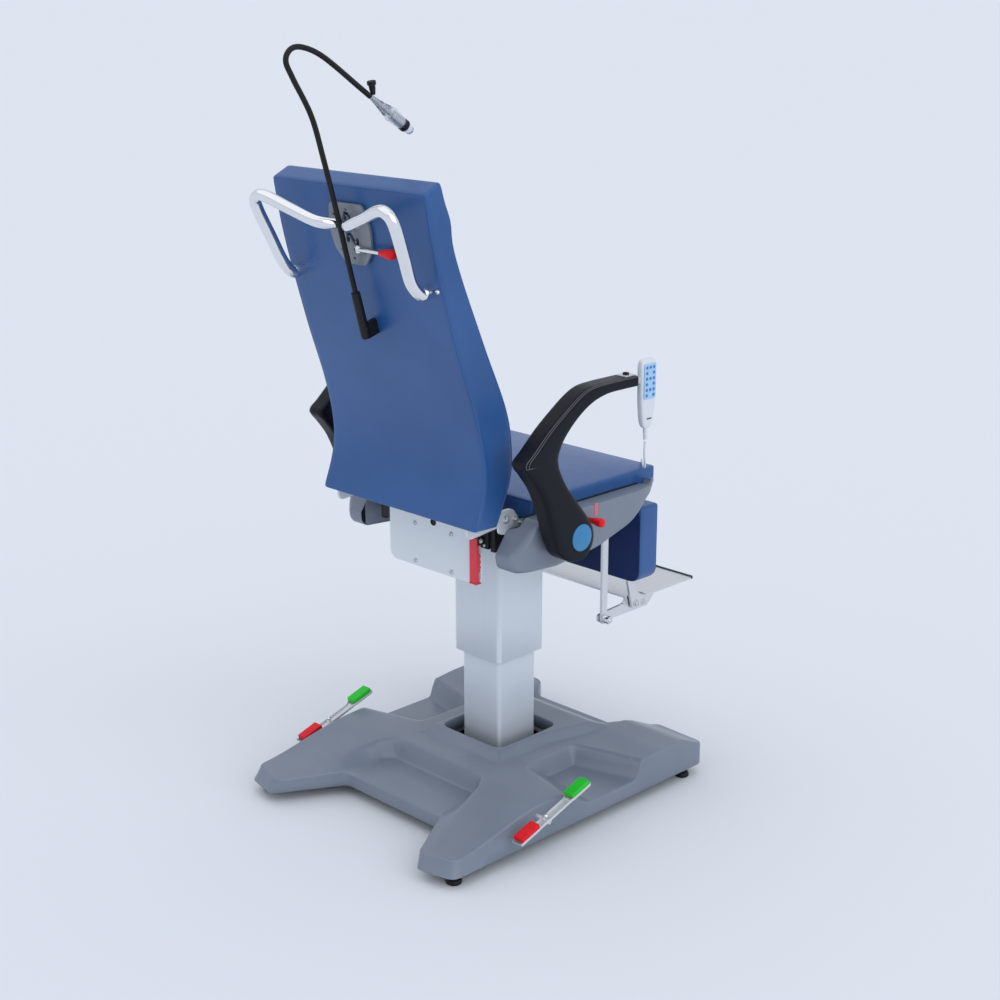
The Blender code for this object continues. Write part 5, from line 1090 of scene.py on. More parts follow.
def cover_edges():
    """A cover's side view as places along Y, closer at both ends, with its upper and lower edge at each."""
    outline = rounded_outline(COVER_CORNERS)
    front, rear = outline[:, 0].argmin(), outline[:, 0].argmax()
    turned = np.roll(outline, -front, axis=0)
    split = (rear - front) % len(outline)
    one, other = turned[:split + 1], np.vstack([turned[split:], turned[:1]])[::-1]
    upper, lower = (one, other) if one[:, 1].mean() > other[:, 1].mean() else (other, one)
    low_y, high_y = outline[front, 0] + 0.0002, outline[rear, 0] - 0.0001
    y = low_y + (high_y - low_y) * (1 - np.cos(np.linspace(0, np.pi, 130))) / 2
    top = SEAT_Z + np.interp(y, upper[:, 0], upper[:, 1])[:, None]
    bottom = SEAT_Z + np.interp(y, lower[:, 0], lower[:, 1])[:, None]
    top[[0, -1]] = bottom[[0, -1]] = (top[[0, -1]] + bottom[[0, -1]]) / 2
    return y, top, bottom


def build_cover_lining(side, sign, y, top, bottom):
    """Black rubber tube along the cushion that paints the shadow in its gap to the cover, and a flat panel
    cut to the cover's own side view.
    """
    run = np.linspace(*SHADE_LINE_RUN, 24)
    path = np.column_stack([0 * run + sign * SHADE_LINE_X, run, 0 * run + SEAT_Z + SHADE_LINE_RISE])
    # the black tube paints the shadow in the gap between the seat cushion and the side cover
    piece(f"seat_shade_line_{side}", "seat", "black_rubber", tube(path, SHADE_LINE_RADIUS, 10))
    near = (y > PANEL_RUN[0]) & (y < PANEL_RUN[1])
    rim = np.minimum(top[near, 0] - 0.003, SEAT_Z - PANEL_DROP)
    foot = bottom[near, 0] + 0.001
    loop = np.vstack([np.column_stack([y[near], foot]), np.column_stack([y[near], rim])[::-1]])
    panel = side_plate(loop, sign * PANEL_X[0], sign * PANEL_X[1], 0.0003)
    piece(f"side_cover_{side}_panel", "seat", "grey_shell", panel)


def build_side_cover(side, sign):
    """Moulded side cover: its C-shaped section carried from the raised front tip to the rounded rear nose."""
    y, top, bottom = cover_edges()
    wall = np.minimum(COVER_WALL, 0.28 * (top - bottom))
    nose = np.clip((y - y[-1] + COVER_NOSE_LENGTH) / COVER_NOSE_LENGTH, 0, 1)[:, None]
    tip = np.clip((COVER_TIP_Y - y) / COVER_TIP_LENGTH, 0, 1)[:, None]
    nose_in = COVER_NOSE * (1 - np.sqrt(1 - COVER_NOSE_ROUND * nose ** 2))
    outside = COVER_OUTSIDE - nose_in - COVER_TIP * tip ** 2
    inside_top = COVER_RIM_X + (COVER_INSIDE - COVER_RIM_X) * ease(*COVER_RIM_END, y)[:, None]
    tip_rim = outside - COVER_TIP_RIM
    inside_top = inside_top + (tip_rim - inside_top) * ease(*COVER_TIP_RIM_RUN, y)[:, None]
    round_top = COVER_TOP_ROUND + COVER_REAR_ROUND * ease(*COVER_REAR_RUN, y)[:, None]
    skin = cover_path(top, bottom, inside_top, outside, round_top)
    lining = cover_path(top - wall, bottom + wall, inside_top, outside - wall, round_top)[:, ::-1]
    ring = np.concatenate([skin, lining], axis=1)
    within = np.clip(y, y[0] + COVER_END, y[-1] - COVER_END)
    depth = np.concatenate([y[:, None] + 0 * skin[..., 0], within[:, None] + 0 * lining[..., 0]], axis=1)
    rows = np.stack([sign * ring[..., 0], depth, ring[..., 1]], -1)
    build_cover_lining(side, sign, y, top, bottom)
    piece(f"side_cover_{side}_moulding", "seat", "grey_shell", rows_to_mesh(rows, caps=False),
          (f"side_cover_{side}",), sharp=75.0)


# rear plate's face and screws (x, z), and each hinge's bolts (y, z, radius)
REAR_PLATE_Y = 0.200
REAR_SCREWS = ((0.0603, 0.6458), (0.0603, 0.5594), (-0.0540, 0.6458), (-0.0540, 0.5594))
GROMMET = ((0, 0), (0, 0.0085), (0.0012, 0.0080), (0.0012, 0.0055), (0.0004, 0.0050), (0.0004, 0))
HINGE_BOLTS = ((0.194, 0.713, 0.0062), (0.1680, 0.7090, 0.0036), (0.1520, 0.6985, 0.0032))
HINGE_FACE_X = 0.2136
LOCK_MARK_HALF = (0.0052, 0.0135, 0.0006)


def build_seat_details():
    """Rear plate's screws, hinge bolts and lock marks."""
    screws = [screw_head((x, REAR_PLATE_Y, z), Y_AXIS, 0.0052, 0.0030) for x, z in REAR_SCREWS]
    piece("rear_plate_screws", "seat", "zinc", together(*screws))
    hole = lathe(GROMMET, (0.0021, REAR_PLATE_Y, 0.6608), Y_AXIS)
    piece("rear_plate_grommet", "seat", "black_rubber", hole)
    for side, sign in SIDES:
        bolts = [bolt((sign * HINGE_FACE_X, y, z), (sign, 0, 0), radius, 0.007)
                 for y, z, radius in HINGE_BOLTS]
        piece(f"hinge_bolts_{side}", "seat", "zinc", together(*bolts))
        mark = onto(rounded_block(LOCK_MARK_HALF, 0.0005, (3, 4, 2)), (sign * 0.2851, -0.0080, 0.7070),
                    Y_AXIS, Z_AXIS, X_AXIS)
        piece(f"lock_mark_{side}", "seat", "red_mark", mark)


# release lever: its plate, and the heights between which the grip has finger waves
RELEASE_X = -0.1385
RELEASE_HALF = 0.0115
RELEASE_TOP = 0.6612
RELEASE_BOTTOM = 0.5572
RELEASE_FRONT_Y = 0.2026
RELEASE_REAR_Y = 0.2166
RELEASE_PLATE = 0.0026
RELEASE_FLANGE = 0.0028
RELEASE_EDGE = 0.0006
RELEASE_CORNER = 0.002
GRIP_RISE = (0.584, 0.626)
GRIP_WAVE = 0.0125
GRIP_DEPTH = 0.0016


def release_flange(half_y, y, z):
    """A level flange of the release lever."""
    flange = flat_plate(oblong(RELEASE_HALF, half_y, RELEASE_CORNER), RELEASE_FLANGE, RELEASE_EDGE)
    return moved(flange, (RELEASE_X, y, z))


def build_release():
    """Red release lever: a flat plate with a top flange, a foot and a grip flange with finger waves."""
    face = oblong(RELEASE_HALF, (RELEASE_TOP - RELEASE_BOTTOM) / 2, RELEASE_CORNER)
    middle = (RELEASE_X, RELEASE_REAR_Y - RELEASE_PLATE / 2, (RELEASE_TOP + RELEASE_BOTTOM) / 2)
    plate = onto(flat_plate(face, RELEASE_PLATE, RELEASE_EDGE), middle, X_AXIS, Z_AXIS, Y_AXIS)
    z = np.linspace(RELEASE_BOTTOM + 0.006, RELEASE_TOP - 0.003, 90)
    waves = RELEASE_FRONT_Y + 0.0030 + GRIP_DEPTH * np.cos((z - z[0]) * 2 * np.pi / GRIP_WAVE)
    waves = np.where((z > GRIP_RISE[0]) & (z < GRIP_RISE[1]), waves, RELEASE_FRONT_Y + 0.0078)
    rear = RELEASE_REAR_Y - 0.001
    loop = np.vstack([np.column_stack([waves, z]), [(rear, z[-1]), (rear, z[0])]])
    side_x = RELEASE_X - RELEASE_HALF
    grip = side_plate(loop, side_x, side_x + RELEASE_FLANGE, 0.0005)
    top = release_flange(0.007, 0.2096, RELEASE_TOP - RELEASE_FLANGE / 2)
    foot = release_flange(0.008, 0.2106, RELEASE_BOTTOM + RELEASE_FLANGE / 2)
    # the pinker red paints the sheen of light on the lever's plate
    piece("release_handle", "release_lever", "red_lever", together(plate, grip, top, foot),
          ("release_lever",), sharp=35.0)
    bolts = together(bolt((side_x - 0.0040, 0.2085, 0.6552), -X_AXIS, 0.0035, 0.004),
                     screw_head((-0.1560, 0.2003, 0.6440), Y_AXIS, 0.0035, 0.0025))
    piece("release_screws", "seat", "zinc", bolts)


# push handles: (x, depth behind the rear face, rise above the seat frame)
HANDLE_RADIUS = 0.0125
HANDLE_ROUTE = ((0.0490, 0.0480, 0.629), (0.1090, 0.0600, 0.649), (0.1700, 0.0700, 0.670),
                (0.1960, 0.0720, 0.668), (0.2090, 0.0690, 0.648), (0.2030, 0.0540, 0.584),
                (0.1960, 0.0440, 0.530))
HANDLE_FOOT = (0.196, 0.511)
HANDLE_ROOT_X = 0.024
HANDLE_STEPS = 150
HANDLE_GAP = 0.0019
HANDLE_SUNK = 0.008
HANDLE_SCREW_X = 0.0225
# plate behind the head end: half outline with corner radii, slots and holes, from its middle
PLATE_RISE = 0.605
PLATE_THICK = 0.008
PLATE_EDGE = 0.0014
PLATE_GAP = 0.0006
PLATE_HALF = ((0.048, 0.063, 0.012), (0.062, 0.0126, 0.030), (0.0558, -0.0315, 0.030), (0.030, -0.063, 0.014))
PLATE_SLOT = ((0.0115, -0.0030), (0.0080, 0.0068), (0.0020, 0.0046), (-0.0020, -0.0036), (-0.0080, -0.0090),
              (-0.0115, -0.0020))
PLATE_SLOT_SIZE = 1.25
PLATE_SLOT_HALF = 0.0048
PLATE_SLOTS = ((-0.006, 0.034), (-0.004, -0.009))
PLATE_HOLE_RADIUS = 0.0026
PLATE_HOLES = ((0.040, 0.038), (-0.040, 0.038), (0.034, -0.034), (-0.034, -0.034), (0.0, 0.050),
               (0.0, -0.050))
LEVER_HUB = ((0.0, 0.0085), (0.002, 0.0092), (0.007, 0.0090), (0.0098, 0.0060))
LEVER_GRIP = ((0.0003, 0.0050), (0.004, 0.0060), (0.016, 0.0085), (0.030, 0.0104), (0.038, 0.0098),
              (0.0430, 0.0062), (0.0442, 0.0020))
LEVER_X = -0.022
LEVER_DROP = 0.027
LEVER_GAP = 0.0009
LEVER_LIFT = 0.006
LEVER_REACH = 0.066
LEVER_RADIUS = 0.0042


def build_handles():
    """Bent chrome tubes: a circle carried along a smooth route, with a screw beside the foot."""
    for side, sign in SIDES:
        root, _, rearward = back_frame(HANDLE_ROUTE[0][2])
        start = root + rearward * (PLATE_THICK + HANDLE_GAP)
        start[0] = HANDLE_ROOT_X
        route = [start, start + rearward * HANDLE_RADIUS]
        route += [(x, rear_at(rise) + depth, SEAT_Z + rise) for x, depth, rise in HANDLE_ROUTE]
        foot, _, rearward = back_frame(HANDLE_FOOT[1])
        foot[0] = HANDLE_FOOT[0]
        route += [foot + rearward * lift for lift in (2 * HANDLE_RADIUS, HANDLE_RADIUS, -HANDLE_SUNK)]
        path = smooth_line(np.array(route), HANDLE_STEPS)
        radius = HANDLE_RADIUS * (1 - 0.25 * np.exp(-np.arange(HANDLE_STEPS) / 0.8))
        shape = mirrored_x(tube(path, radius, 28), sign)
        piece(f"push_handle_{side}_tube", "backrest", "chrome", shape, (f"push_handle_{side}",))
        screw = screw_head(foot + X_AXIS * HANDLE_SCREW_X - rearward * 0.0004, rearward, 0.0052, 0.0060)
        piece(f"push_handle_{side}_screw", "backrest", "satin_chrome", mirrored_x(screw, sign))


def build_head_plate():
    """Painted plate behind the head end with two wavy slots and small holes, and the clamp's red grip."""
    outline = rounded_outline([*PLATE_HALF, *other_half(PLATE_HALF)], 10)
    wave = smooth_line(np.array(PLATE_SLOT), 30)
    slots = [stroke(PLATE_SLOT_SIZE * wave + at, PLATE_SLOT_HALF) for at in PLATE_SLOTS]
    holes = [circle(20) * PLATE_HOLE_RADIUS + at for at in PLATE_HOLES]
    root, up, rearward = back_frame(PLATE_RISE)
    shape = onto(flat_plate(outline, PLATE_THICK, PLATE_EDGE, slots + holes),
                 root + rearward * (PLATE_THICK / 2 + PLATE_GAP), X_AXIS, up, rearward)
    piece("head_plate", "backrest", "head_paint", shape, ("headrest_plate",), sharp=30.0)
    face = root - up * LEVER_DROP + rearward * (PLATE_THICK + LEVER_GAP) + X_AXIS * LEVER_X
    stem = face + rearward * LEVER_LIFT
    end = stem - X_AXIS * LEVER_REACH
    hub = smooth_lathe(LEVER_HUB, face, rearward)
    bar = tube(np.linspace(stem, end + X_AXIS * -0.004, 4), LEVER_RADIUS, 20)
    piece("head_lever", "headrest_lever", "chrome", together(hub, bar), ("headrest_lever",))
    grip = smooth_lathe(LEVER_GRIP, end, -X_AXIS)
    piece("head_lever_grip", "headrest_lever", "red_plastic", grip, ("headrest_lever_knob",))


# lamp: (y, z) in the middle plane, and turned profiles along the head or the knob
SLEEVE = ((0.3811, 1.0929), (0.4073, 1.1902))
NECK_ROUTE = ((0.4205, 1.2400), (0.4375, 1.3050), (0.4555, 1.3730), (0.4800, 1.4600), (0.5060, 1.5400),
              (0.5480, 1.6120), (0.5630, 1.6440), (0.5500, 1.6650), (0.5200, 1.6670), (0.4700, 1.6470))
LAMP_START = np.array((0.0, 0.3567, 1.5698))
LAMP_WAY = np.array((0.0, -0.82427, -0.56620))
LAMP_KNOB_WAY = np.array((0.0, 0.1855, 0.98265))
LAMP_BODY = ((0.0004, 0.0050), (0.010, 0.0056), (0.025, 0.0076), (0.045, 0.0112), (0.060, 0.0144),
             (0.0645, 0.0150), (0.078, 0.0143), (0.092, 0.0126), (0.0995, 0.0116))
LAMP_RING_AT = 0.0645
LAMP_RING_RADIUS = 0.0150
LAMP_RING_WIRE = 0.0006
LAMP_CORE = ((0.004, 0), (0.004, 0.0026), (0.062, 0.0034), (0.064, 0.0062), (0.098, 0.0070), (0.098, 0))
LAMP_COLLAR = ((0.0995, 0.0), (0.0995, 0.0120), (0.1005, 0.0125), (0.1035, 0.0125), (0.1040, 0.0119),
               (0.1060, 0.0119), (0.1065, 0.0125), (0.1100, 0.0125), (0.1110, 0.0118), (0.1110, 0.0))
LAMP_LENS = ((0.1112, 0.0100), (0.1200, 0.0098), (0.1265, 0.0088), (0.1290, 0.0060), (0.1297, 0.0015))
LAMP_KNOB = ((0.007, 0), (0.007, 0.0046), (0.020, 0.0066), (0.0255, 0.0068), (0.0262, 0.0090),
             (0.0330, 0.0092), (0.0340, 0.0084), (0.0340, 0.0066), (0.0332, 0.0060), (0.0332, 0))
LAMP_KNOB_AT = 0.012
LAMP_KNOB_LIFT = 0.0033
NECK_RADIUS = 0.0055
CLAMP_AT = 0.021
CLAMP_HALF = (0.0070, 0.016)
CLAMP_EDGE = 0.0025
CLAMP_SUNK = 0.003


def build_lamp():
    """Sleeve in its holder, black flexible neck, and the turned lamp head with its ring, lens and knob."""
    foot, top = (np.array((0.0, *end)) for end in SLEEVE)
    length = np.linalg.norm(top - foot)
    way = (top - foot) / length
    middle = foot + way * CLAMP_AT
    root, up, rearward = back_frame(middle[2] - SEAT_Z)
    reach = (middle - root) @ rearward
    block = onto(rounded_block((*CLAMP_HALF, (reach + CLAMP_SUNK) / 2), CLAMP_EDGE, (3, 4, 3)),
                 root + up * 0.002 + rearward * (reach - CLAMP_SUNK) / 2, X_AXIS, up, rearward)
    sleeve = smooth_lathe([(0.0, 0.0088), (0.002, 0.0098), (0.010, 0.0100), (0.050, 0.0098),
                           (length - 0.006, 0.0094), (length - 0.001, 0.0080)], foot, way)
    screw = screw_head(middle + X_AXIS * -0.0095, -X_AXIS, 0.0035, 0.0030)
    piece("lamp_sleeve", "backrest", "black_plastic", together(block, sleeve, screw),
          ("lamp_holder",))
    neck = [top - way * 0.004, top + way * 0.02] + [(0.0, *point) for point in NECK_ROUTE]
    neck += [LAMP_START - LAMP_WAY * 0.030, LAMP_START - LAMP_WAY * 0.012, LAMP_START]
    neck = tube(smooth_line(np.array(neck), 260), NECK_RADIUS, 20)
    piece("lamp_gooseneck", "backrest", "black_rubber", neck, ("lamp_neck",))
    body = smooth_lathe(LAMP_BODY, LAMP_START, LAMP_WAY, 48, 80)
    ring = closed_ring(LAMP_START + LAMP_WAY * LAMP_RING_AT, LAMP_WAY, LAMP_RING_RADIUS, LAMP_RING_WIRE)
    core = lathe(LAMP_CORE, LAMP_START, LAMP_WAY)
    piece("lamp_barrel", "lamp_head", "clear_barrel", body, ("lamp_head",))
    piece("lamp_core", "lamp_head", "zinc", together(ring, core))
    collar = lathe(LAMP_COLLAR, LAMP_START, LAMP_WAY, 48)
    piece("lamp_collar", "lamp_head", "black_plastic", collar)
    lens = smooth_lathe(LAMP_LENS, LAMP_START, LAMP_WAY, 40, 40)
    piece("lamp_tip", "lamp_head", "lamp_glass", lens, ("lamp_lens",))
    seat = LAMP_START + LAMP_WAY * LAMP_KNOB_AT + LAMP_KNOB_WAY * LAMP_KNOB_LIFT
    piece("lamp_stem", "lamp_head", "satin_chrome", rod(seat, LAMP_KNOB_WAY, 0.0028, 0.009))
    knob = lathe(LAMP_KNOB, seat, LAMP_KNOB_WAY, 40)
    piece("lamp_focus_knob", "lamp_head", "black_plastic", knob, ("lamp_knob",))


# armrest: matching points (y, z) along its upper and rear edge, and along its lower and front edge
ARM_OUTER = ((-0.075, 0.9965), (-0.020, 0.9968), (0.040, 0.9965), (0.078, 0.9935), (0.110, 0.9815),
             (0.150, 0.9570), (0.200, 0.9220), (0.244, 0.8840), (0.262, 0.8710), (0.266, 0.8620),
             (0.262, 0.8530), (0.247, 0.8360), (0.222, 0.8030), (0.2015, 0.7600), (0.1860, 0.7150),
             (0.1730, 0.6780), (0.1560, 0.6500), (0.1320, 0.6345), (0.1050, 0.6300))
ARM_INNER = ((-0.075, 0.9730), (-0.025, 0.9733), (0.015, 0.9725), (0.050, 0.9660), (0.078, 0.9555),
             (0.105, 0.9395), (0.130, 0.9190), (0.150, 0.8970), (0.1610, 0.8760), (0.1645, 0.8640),
             (0.1640, 0.8520), (0.1590, 0.8350), (0.1400, 0.8000), (0.1080, 0.7600), (0.0760, 0.7220),
             (0.0560, 0.6900), (0.0555, 0.6630), (0.0720, 0.6410), (0.1000, 0.6300))
ARM_INSIDE = 0.2945
ARM_OUTSIDE = 0.341
ARM_MOUNT_X = 0.2853
# its front end grows from this size to the full one over a share of the first step
ARM_NOSE_SIZE = 0.80
ARM_NOSE = 0.12
ARM_CORNER_POWER = 0.34
ARM_HUB = (0.098, 0.680)
ARM_BOSS = ((0, 0), (0, 0.024), (0.002, 0.026), (0.016, 0.026), (0.016, 0))
ARM_DISC = ((0.0, 0), (0.0, 0.0290), (0.0010, 0.0286), (0.0014, 0.0270), (0.0018, 0.0180), (0.0020, 0))
# seams: share of the height and place across for the two along the arm, then the one down its bend
ARM_SEAMS = ((0.90, 0.3406), (0.965, 0.3382))
ARM_SEAM_RUN = (0.15, 9.6)
ARM_BEND_SEAM = (9.5, (0.55, 0.965), 0.3404)
ARM_SEAM_RADIUS = 0.0006
ARM_CLIP = (0.3190, -0.0560)
LOCK_AT = (0.018, 0.6902)
LOCK_GRIP = ((0, 0), (0, 0.005), (0.010, 0.005), (0.010, 0.0058), (0.013, 0.0064), (0.026, 0.0090),
             (0.036, 0.0100), (0.0415, 0.0092), (0.0435, 0.0060), (0.0440, 0))


def arm_section(t, share, x):
    """A point of the armrest: share 0 on the lower edge and 1 on the upper one, at a place across it."""
    t, share, x = np.broadcast_arrays(t, share, x)
    upper = catmull(ARM_OUTER, t)
    lower = catmull(ARM_INNER, t)
    return np.concatenate([x[..., None], lower + (upper - lower) * share[..., None]], -1)


def build_armrest(side, sign):
    """Moulded armrest: a rounded oblong section carried along its bent outline, and its pivot boss."""
    body = f"armrest_{side}"
    out = (sign, 0, 0)
    stations = np.append(np.linspace(0, ARM_NOSE, 8)[:-1], np.linspace(ARM_NOSE, len(ARM_OUTER) - 1, 170))
    stations = stations[:, None]
    across, upward = squircle(64, ARM_CORNER_POWER)
    full = np.sqrt(1 - np.clip(1 - stations / ARM_NOSE, 0, 1) ** 2)
    size = ARM_NOSE_SIZE + (1 - ARM_NOSE_SIZE) * full
    middle, half = (ARM_OUTSIDE + ARM_INSIDE) / 2, (ARM_OUTSIDE - ARM_INSIDE) / 2
    rows = arm_section(stations, (size * upward + 1) / 2, sign * (middle + half * (size * across)))
    piece(f"armrest_{side}_moulding", body, "black_leather", rows_to_mesh(rows),
          (f"armrest_{side}",), sharp=50.0)
    boss = lathe(ARM_BOSS, (sign * ARM_MOUNT_X, *ARM_HUB), out)
    piece(f"armrest_{side}_boss", body, "black_plastic", boss)

    lines = [arm_section(np.linspace(*ARM_SEAM_RUN, 160), share, sign * x) for share, x in ARM_SEAMS]
    bend, shares, x = ARM_BEND_SEAM
    lines.append(arm_section(bend, np.linspace(*shares, 24), sign * x))
    seams = [tube(line, ARM_SEAM_RADIUS, 6) for line in lines]
    piece(f"armrest_{side}_seam", body, "grey_thread", together(*seams))
    disc = lathe(ARM_DISC, (sign * ARM_OUTSIDE, *ARM_HUB), out, 56)
    piece(f"armrest_{side}_hub_disc", body, "hub_blue", disc)
    clip_x, clip_y = sign * ARM_CLIP[0], ARM_CLIP[1]
    clip = moved(rounded_block((0.014, 0.016, 0.0014), 0.0012, (4, 4, 2)), (clip_x, clip_y, 0.9972))
    piece(f"armrest_{side}_clip", body, "zinc", clip)
    block = moved(rounded_block((0.0055, 0.0050, 0.0028), 0.0015, (3, 3, 2)), (clip_x, clip_y, 1.0005))
    piece(f"armrest_{side}_clip_screw", body, "black_plastic", block)

    lock = lathe(LOCK_GRIP, (sign * ARM_MOUNT_X, *LOCK_AT), out, 36)
    piece(f"armrest_lock_{side}_grip", f"armrest_lock_{side}", "red_plastic", lock,
          (f"armrest_lock_{side}",), sharp=50.0)


# hand control: share of its height, half width and half thickness
HANDSET_SHAPE = ((0, 0.0070, 0.0040), (0.015, 0.0110, 0.0065), (0.04, 0.0138, 0.0078),
                 (0.10, 0.0168, 0.0090), (0.20, 0.0195, 0.0096), (0.40, 0.0225, 0.0098),
                 (0.65, 0.0238, 0.0098), (0.90, 0.0238, 0.0098), (0.965, 0.0222, 0.0088),
                 (0.99, 0.0195, 0.0070), (1, 0.0150, 0.0040))
HANDSET_CORNER_POWER = 0.55
HANDSET_FACE_X = HANDSET_X - 0.0098
RELIEF_LENGTH = 0.0298
RELIEF_INSIDE = 0.004
RELIEF_RIBS = 7
KEYPAD_Z = 0.9790
MARK_Z = 0.8980
KEY = ((0, 0), (0, 0.0036), (0.0007, 0.0034), (0.0011, 0.0026), (0.0006, 0.0016), (0.0006, 0))
KEY_ROWS = 6
KEY_STEP = (0.0110, 0.0120)
KEY_TOP_Z = 1.0090


def build_handset():
    """Hand control: an oblong section carried up, with a keypad, keys, hook and ribbed strain relief."""
    body = "armrest_right"
    face = HANDSET_FACE_X
    t = np.linspace(0, 1, 80)[:, None]
    at, wide, thick = np.array(HANDSET_SHAPE).T
    x, y = squircle(40, HANDSET_CORNER_POWER)
    rows = np.stack([HANDSET_X + np.interp(t, at, thick) * x, HANDSET_Y + np.interp(t, at, wide) * y,
                     HANDSET_FOOT + (HANDSET_TOP - HANDSET_FOOT) * t + 0 * x], -1)
    piece("handset_case", body, "white_plastic", rows_to_mesh(rows), ("handset",),
          sharp=50.0)
    z = np.linspace(0, 1, 60)
    radius = 0.0058 - 0.0022 * z + 0.0005 * np.cos(z * 2 * np.pi * RELIEF_RIBS)
    ribs = np.column_stack([z * RELIEF_LENGTH - RELIEF_INSIDE, radius])
    relief = lathe(np.vstack([[(-RELIEF_INSIDE, 0.0)], ribs, [(RELIEF_LENGTH - RELIEF_INSIDE, 0.0)]]),
                   (HANDSET_X, HANDSET_Y, HANDSET_FOOT - 0.0002), -Z_AXIS, 24)
    piece("handset_relief", body, "white_plastic", relief)
    pad = oblong(0.0185, 0.038, 0.004) + (HANDSET_Y, KEYPAD_Z)
    pad = side_plate(pad, face - 0.0010, face + 0.0004, 0.0004)
    piece("handset_keypad", body, "pale_blue", pad)
    places = [(column * KEY_STEP[0], row * KEY_STEP[1]) for row in range(KEY_ROWS) for column in (-1, 0, 1)
              if row % 2 == 0 or column]
    keys = [lathe(KEY, (face - 0.0009, HANDSET_Y + y, KEY_TOP_Z - z), -X_AXIS, 16) for y, z in places]
    piece("handset_keys", body, "mid_blue", together(*keys))
    mark = oblong(0.0070, 0.0012, 0.0008) + (HANDSET_Y, MARK_Z)
    mark = side_plate(mark, face - 0.0008, face + 0.0008, 0.0003)
    piece("handset_lamp_mark", body, "dark_shell", mark)
    hook = moved(rounded_block((0.0055, 0.0150, 0.0075), 0.0018, (3, 4, 3)), (HANDSET_X, -0.0900, 0.9845))
    piece("handset_hook", body, "zinc", hook)


# leg rest: pivots (y, z), the bars' sleeves and the foot plate's bolts (y, z, radius)
LEG_FOOT = (-0.2425, 0.4120)
LINK_FOOT = (-0.1325, 0.4030)
BAR_SLEEVE = ((0, 0), (0, 0.0086), (0.0015, 0.0094), (0.0150, 0.0094), (0.0165, 0.0086), (0.0165, 0))
BAR_SLEEVE_X = 0.2050
FOOT_BOLTS = ((-0.2780, 0.4040, 0.0052), (-0.2100, 0.4205, 0.0044))
FOOT_BOLTS_X = 0.1962
SHADE_PANEL_INSET = 0.0015


def build_legrest_details():
    """Pivot screws, hinge sleeves, a navy panel whose dark colour paints the shade on the pad's rear face,
    and the rubber edging of the foot plate.
    """
    for side, sign in SIDES:
        out = (sign, 0, 0)
        pivot = bolt((sign * 0.2052, *LEG_FOOT), out, 0.0060, 0.0050)
        piece(f"legrest_frame_screws_{side}", "legrest", "zinc", pivot)
        sleeve = together(lathe(BAR_SLEEVE, (sign * BAR_SLEEVE_X, *LINK_FOOT), out),
                          screw_head((sign * 0.2215, *LINK_FOOT), out, 0.0050, 0.0030))
        piece(f"legrest_bar_sleeve_{side}", "legrest_bars", "satin_chrome", sleeve)
        bolts = [bolt((sign * FOOT_BOLTS_X, y, z), out, radius, 0.0026) for y, z, radius in FOOT_BOLTS]
        piece(f"footrest_bolts_{side}", "footrest", "zinc", together(*bolts))
    # a thin navy panel on the leg pad's rear face: its dark colour paints the shade there
    sheet = oblong(LEG_HALF[0] - SHADE_PANEL_INSET, LEG_HALF[1] - SHADE_PANEL_INSET, LEG_CORNER - SHADE_PANEL_INSET)
    shade_panel = onto(flat_plate(sheet, 0.0016, 0.0006),
                   (0.0, LEG_MIDDLE[0] + LEG_HALF[2] + 0.0003, LEG_MIDDLE[1]), X_AXIS, Z_AXIS, Y_AXIS)
    piece("legrest_shade_panel", "legrest", "navy_backing", shade_panel)
    edging = moved(rounded_block((0.2195, 0.0032, 0.0042), 0.0028, (8, 2, 2)), (0.0, -0.4290, 0.4320))
    piece("footrest_edging", "footrest", "dark_shell", edging)


def both(name):
    """The names of a pair of nodes, right and left."""
    return [f"{name}_{side}" for side, _ in SIDES]


def dress_nodes():
    """Finishes for the nodes that keep their own shape."""
    finishes = {
        # the near-black steel also paints the shade inside the base opening and under the seat
        "dark_steel": ["base_frame", "legrest_gearmotor", "lift_actuator_body", "recline_gearmotor",
                       "seat_frame"],
        "stainless": ["footrest_plate", "head_pad_guide", *both("legrest_bar"), *both("legrest_frame")],
        "zinc": ["legrest_shaft", "lift_actuator_rod", "recline_shaft"],
        "plate_paint": [*both("backrest_arm"), *both("hinge_bracket"), "rear_plate"],
        "black_plastic": ["column_glide_ring", "cord_gland"],
        "black_rubber": both("castor_wheel"),
    }
    for finish, names in finishes.items():
        for name in names:
            NODES[name].data.materials.clear()
            NODES[name].data.materials.append(FINISH[finish])


# stage: floor, sky, two wide suns (name, way, strength, width in degrees, colour) and the photograph's camera
FLOOR_HALF = 400.0
FLOOR_COLOUR = (0.770, 0.800, 0.835, 1.0)
SKY_COLOUR = (0.84, 0.88, 0.97, 1.0)
SKY_STRENGTH = 0.82
SUNS = (("key", (-0.20, -0.35, -1.0), 0.45, 80, (1.0, 0.985, 0.965)),
        ("fill", (1.0, -0.15, -0.50), 0.90, 70, (0.95, 0.97, 1.0)))
CAMERA_PLACE = (-2.6346, 2.6415 + COLUMN_Y, 1.7913)
CAMERA_LOOK = np.array((0.6758, -0.6784, -0.2882))
CAMERA_RIGHT = np.array((-0.7085, -0.7057, 0.0))
CAMERA_LENS = 62.39
CAMERA_FILM = 36.0
CAMERA_FAR = 2000.0


def turned_to(right, up, back):
    """A turn whose axes point the three ways given."""
    return Matrix(np.column_stack([right, up, back]).tolist()).to_4x4()


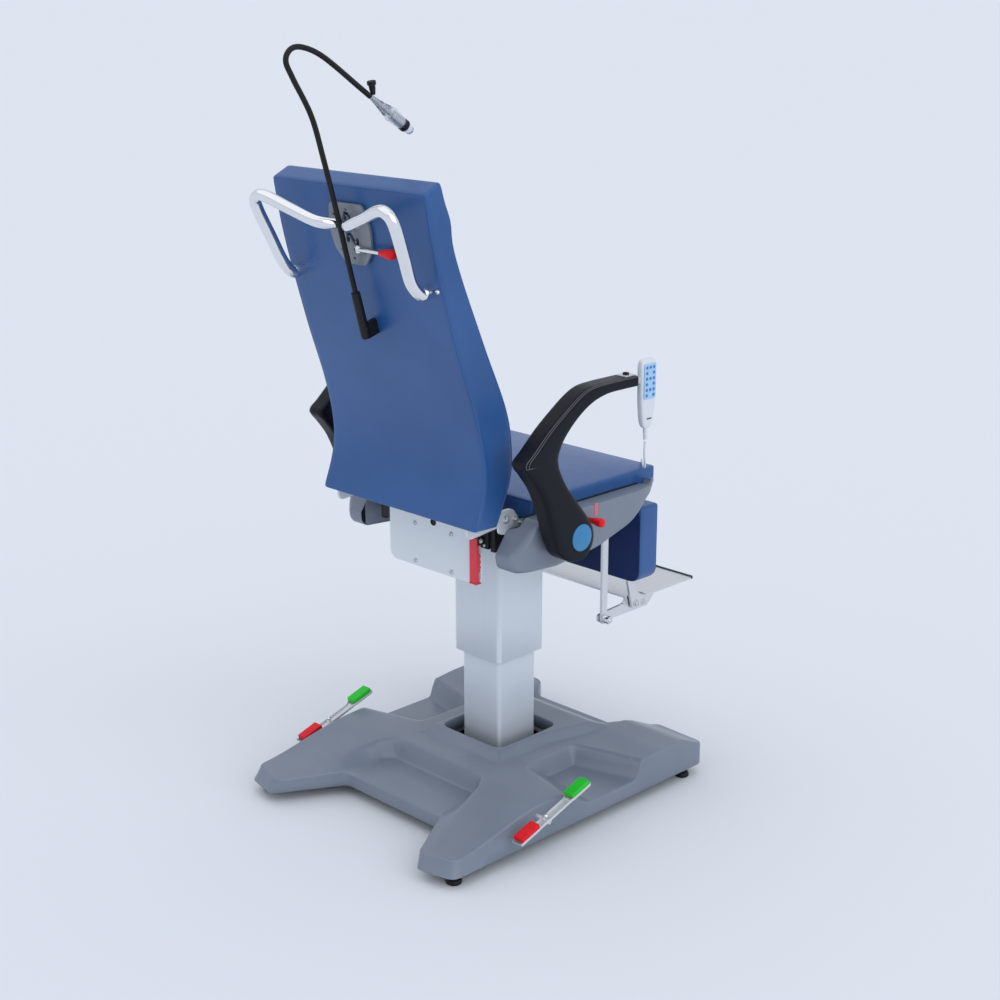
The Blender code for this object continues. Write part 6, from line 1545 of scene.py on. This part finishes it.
def build_floor():
    """A pale floor out to the horizon."""
    size = FLOOR_HALF
    mesh = bpy.data.meshes.new("floor")
    corners = [(-size, -size, 0), (size, -size, 0), (size, size, 0), (-size, size, 0)]
    mesh.from_pydata(corners, [], [(0, 1, 2, 3)])
    pale = Finish("floor_pale", roughness=0.9, specular_ior_level=0.1)
    pale.put("Base Color", FLOOR_COLOUR)
    mesh.materials.append(pale.material)
    floor = bpy.data.objects.new("floor", mesh)
    bpy.context.scene.collection.objects.link(floor)


def build_light():
    """An even sky and two wide suns, each turned to shine along its way."""
    scene = bpy.context.scene
    world = bpy.data.worlds.new("studio")
    scene.world = world
    world.use_nodes = True
    sky = world.node_tree.nodes["Background"]
    sky.inputs["Color"].default_value = SKY_COLOUR
    sky.inputs["Strength"].default_value = SKY_STRENGTH
    for name, way, energy, angle, colour in SUNS:
        light = bpy.data.lights.new(name, "SUN")
        light.energy = energy
        light.angle = math.radians(angle)
        light.color = colour
        lamp = bpy.data.objects.new(name, light)
        back = -unit(np.array(way))
        side = unit(np.cross(Y_AXIS, back))
        lamp.matrix_world = turned_to(side, np.cross(back, side), back)
        scene.collection.objects.link(lamp)


def build_camera():
    """The photograph's camera, from its place and the ways it looks."""
    scene = bpy.context.scene
    camera = bpy.data.objects.new("camera", bpy.data.cameras.new("camera"))
    camera.data.lens = CAMERA_LENS
    camera.data.sensor_width = CAMERA_FILM
    camera.data.clip_end = CAMERA_FAR
    turn = turned_to(CAMERA_RIGHT, np.cross(CAMERA_RIGHT, CAMERA_LOOK), -CAMERA_LOOK)
    camera.matrix_world = Matrix.Translation(CAMERA_PLACE) @ turn
    scene.collection.objects.link(camera)
    scene.camera = camera
    scene.view_settings.view_transform = "Standard"


build_floor()
build_light()
build_camera()
build_cord()
build_cushions()
build_base()
build_feet()
build_column()
build_seat_details()
build_release()
build_handles()
build_head_plate()
build_lamp()
build_handset()
build_legrest_details()
for side_name, side_sign in SIDES:
    build_pedal(side_name, side_sign)
    build_side_cover(side_name, side_sign)
    build_armrest(side_name, side_sign)
dress_nodes()
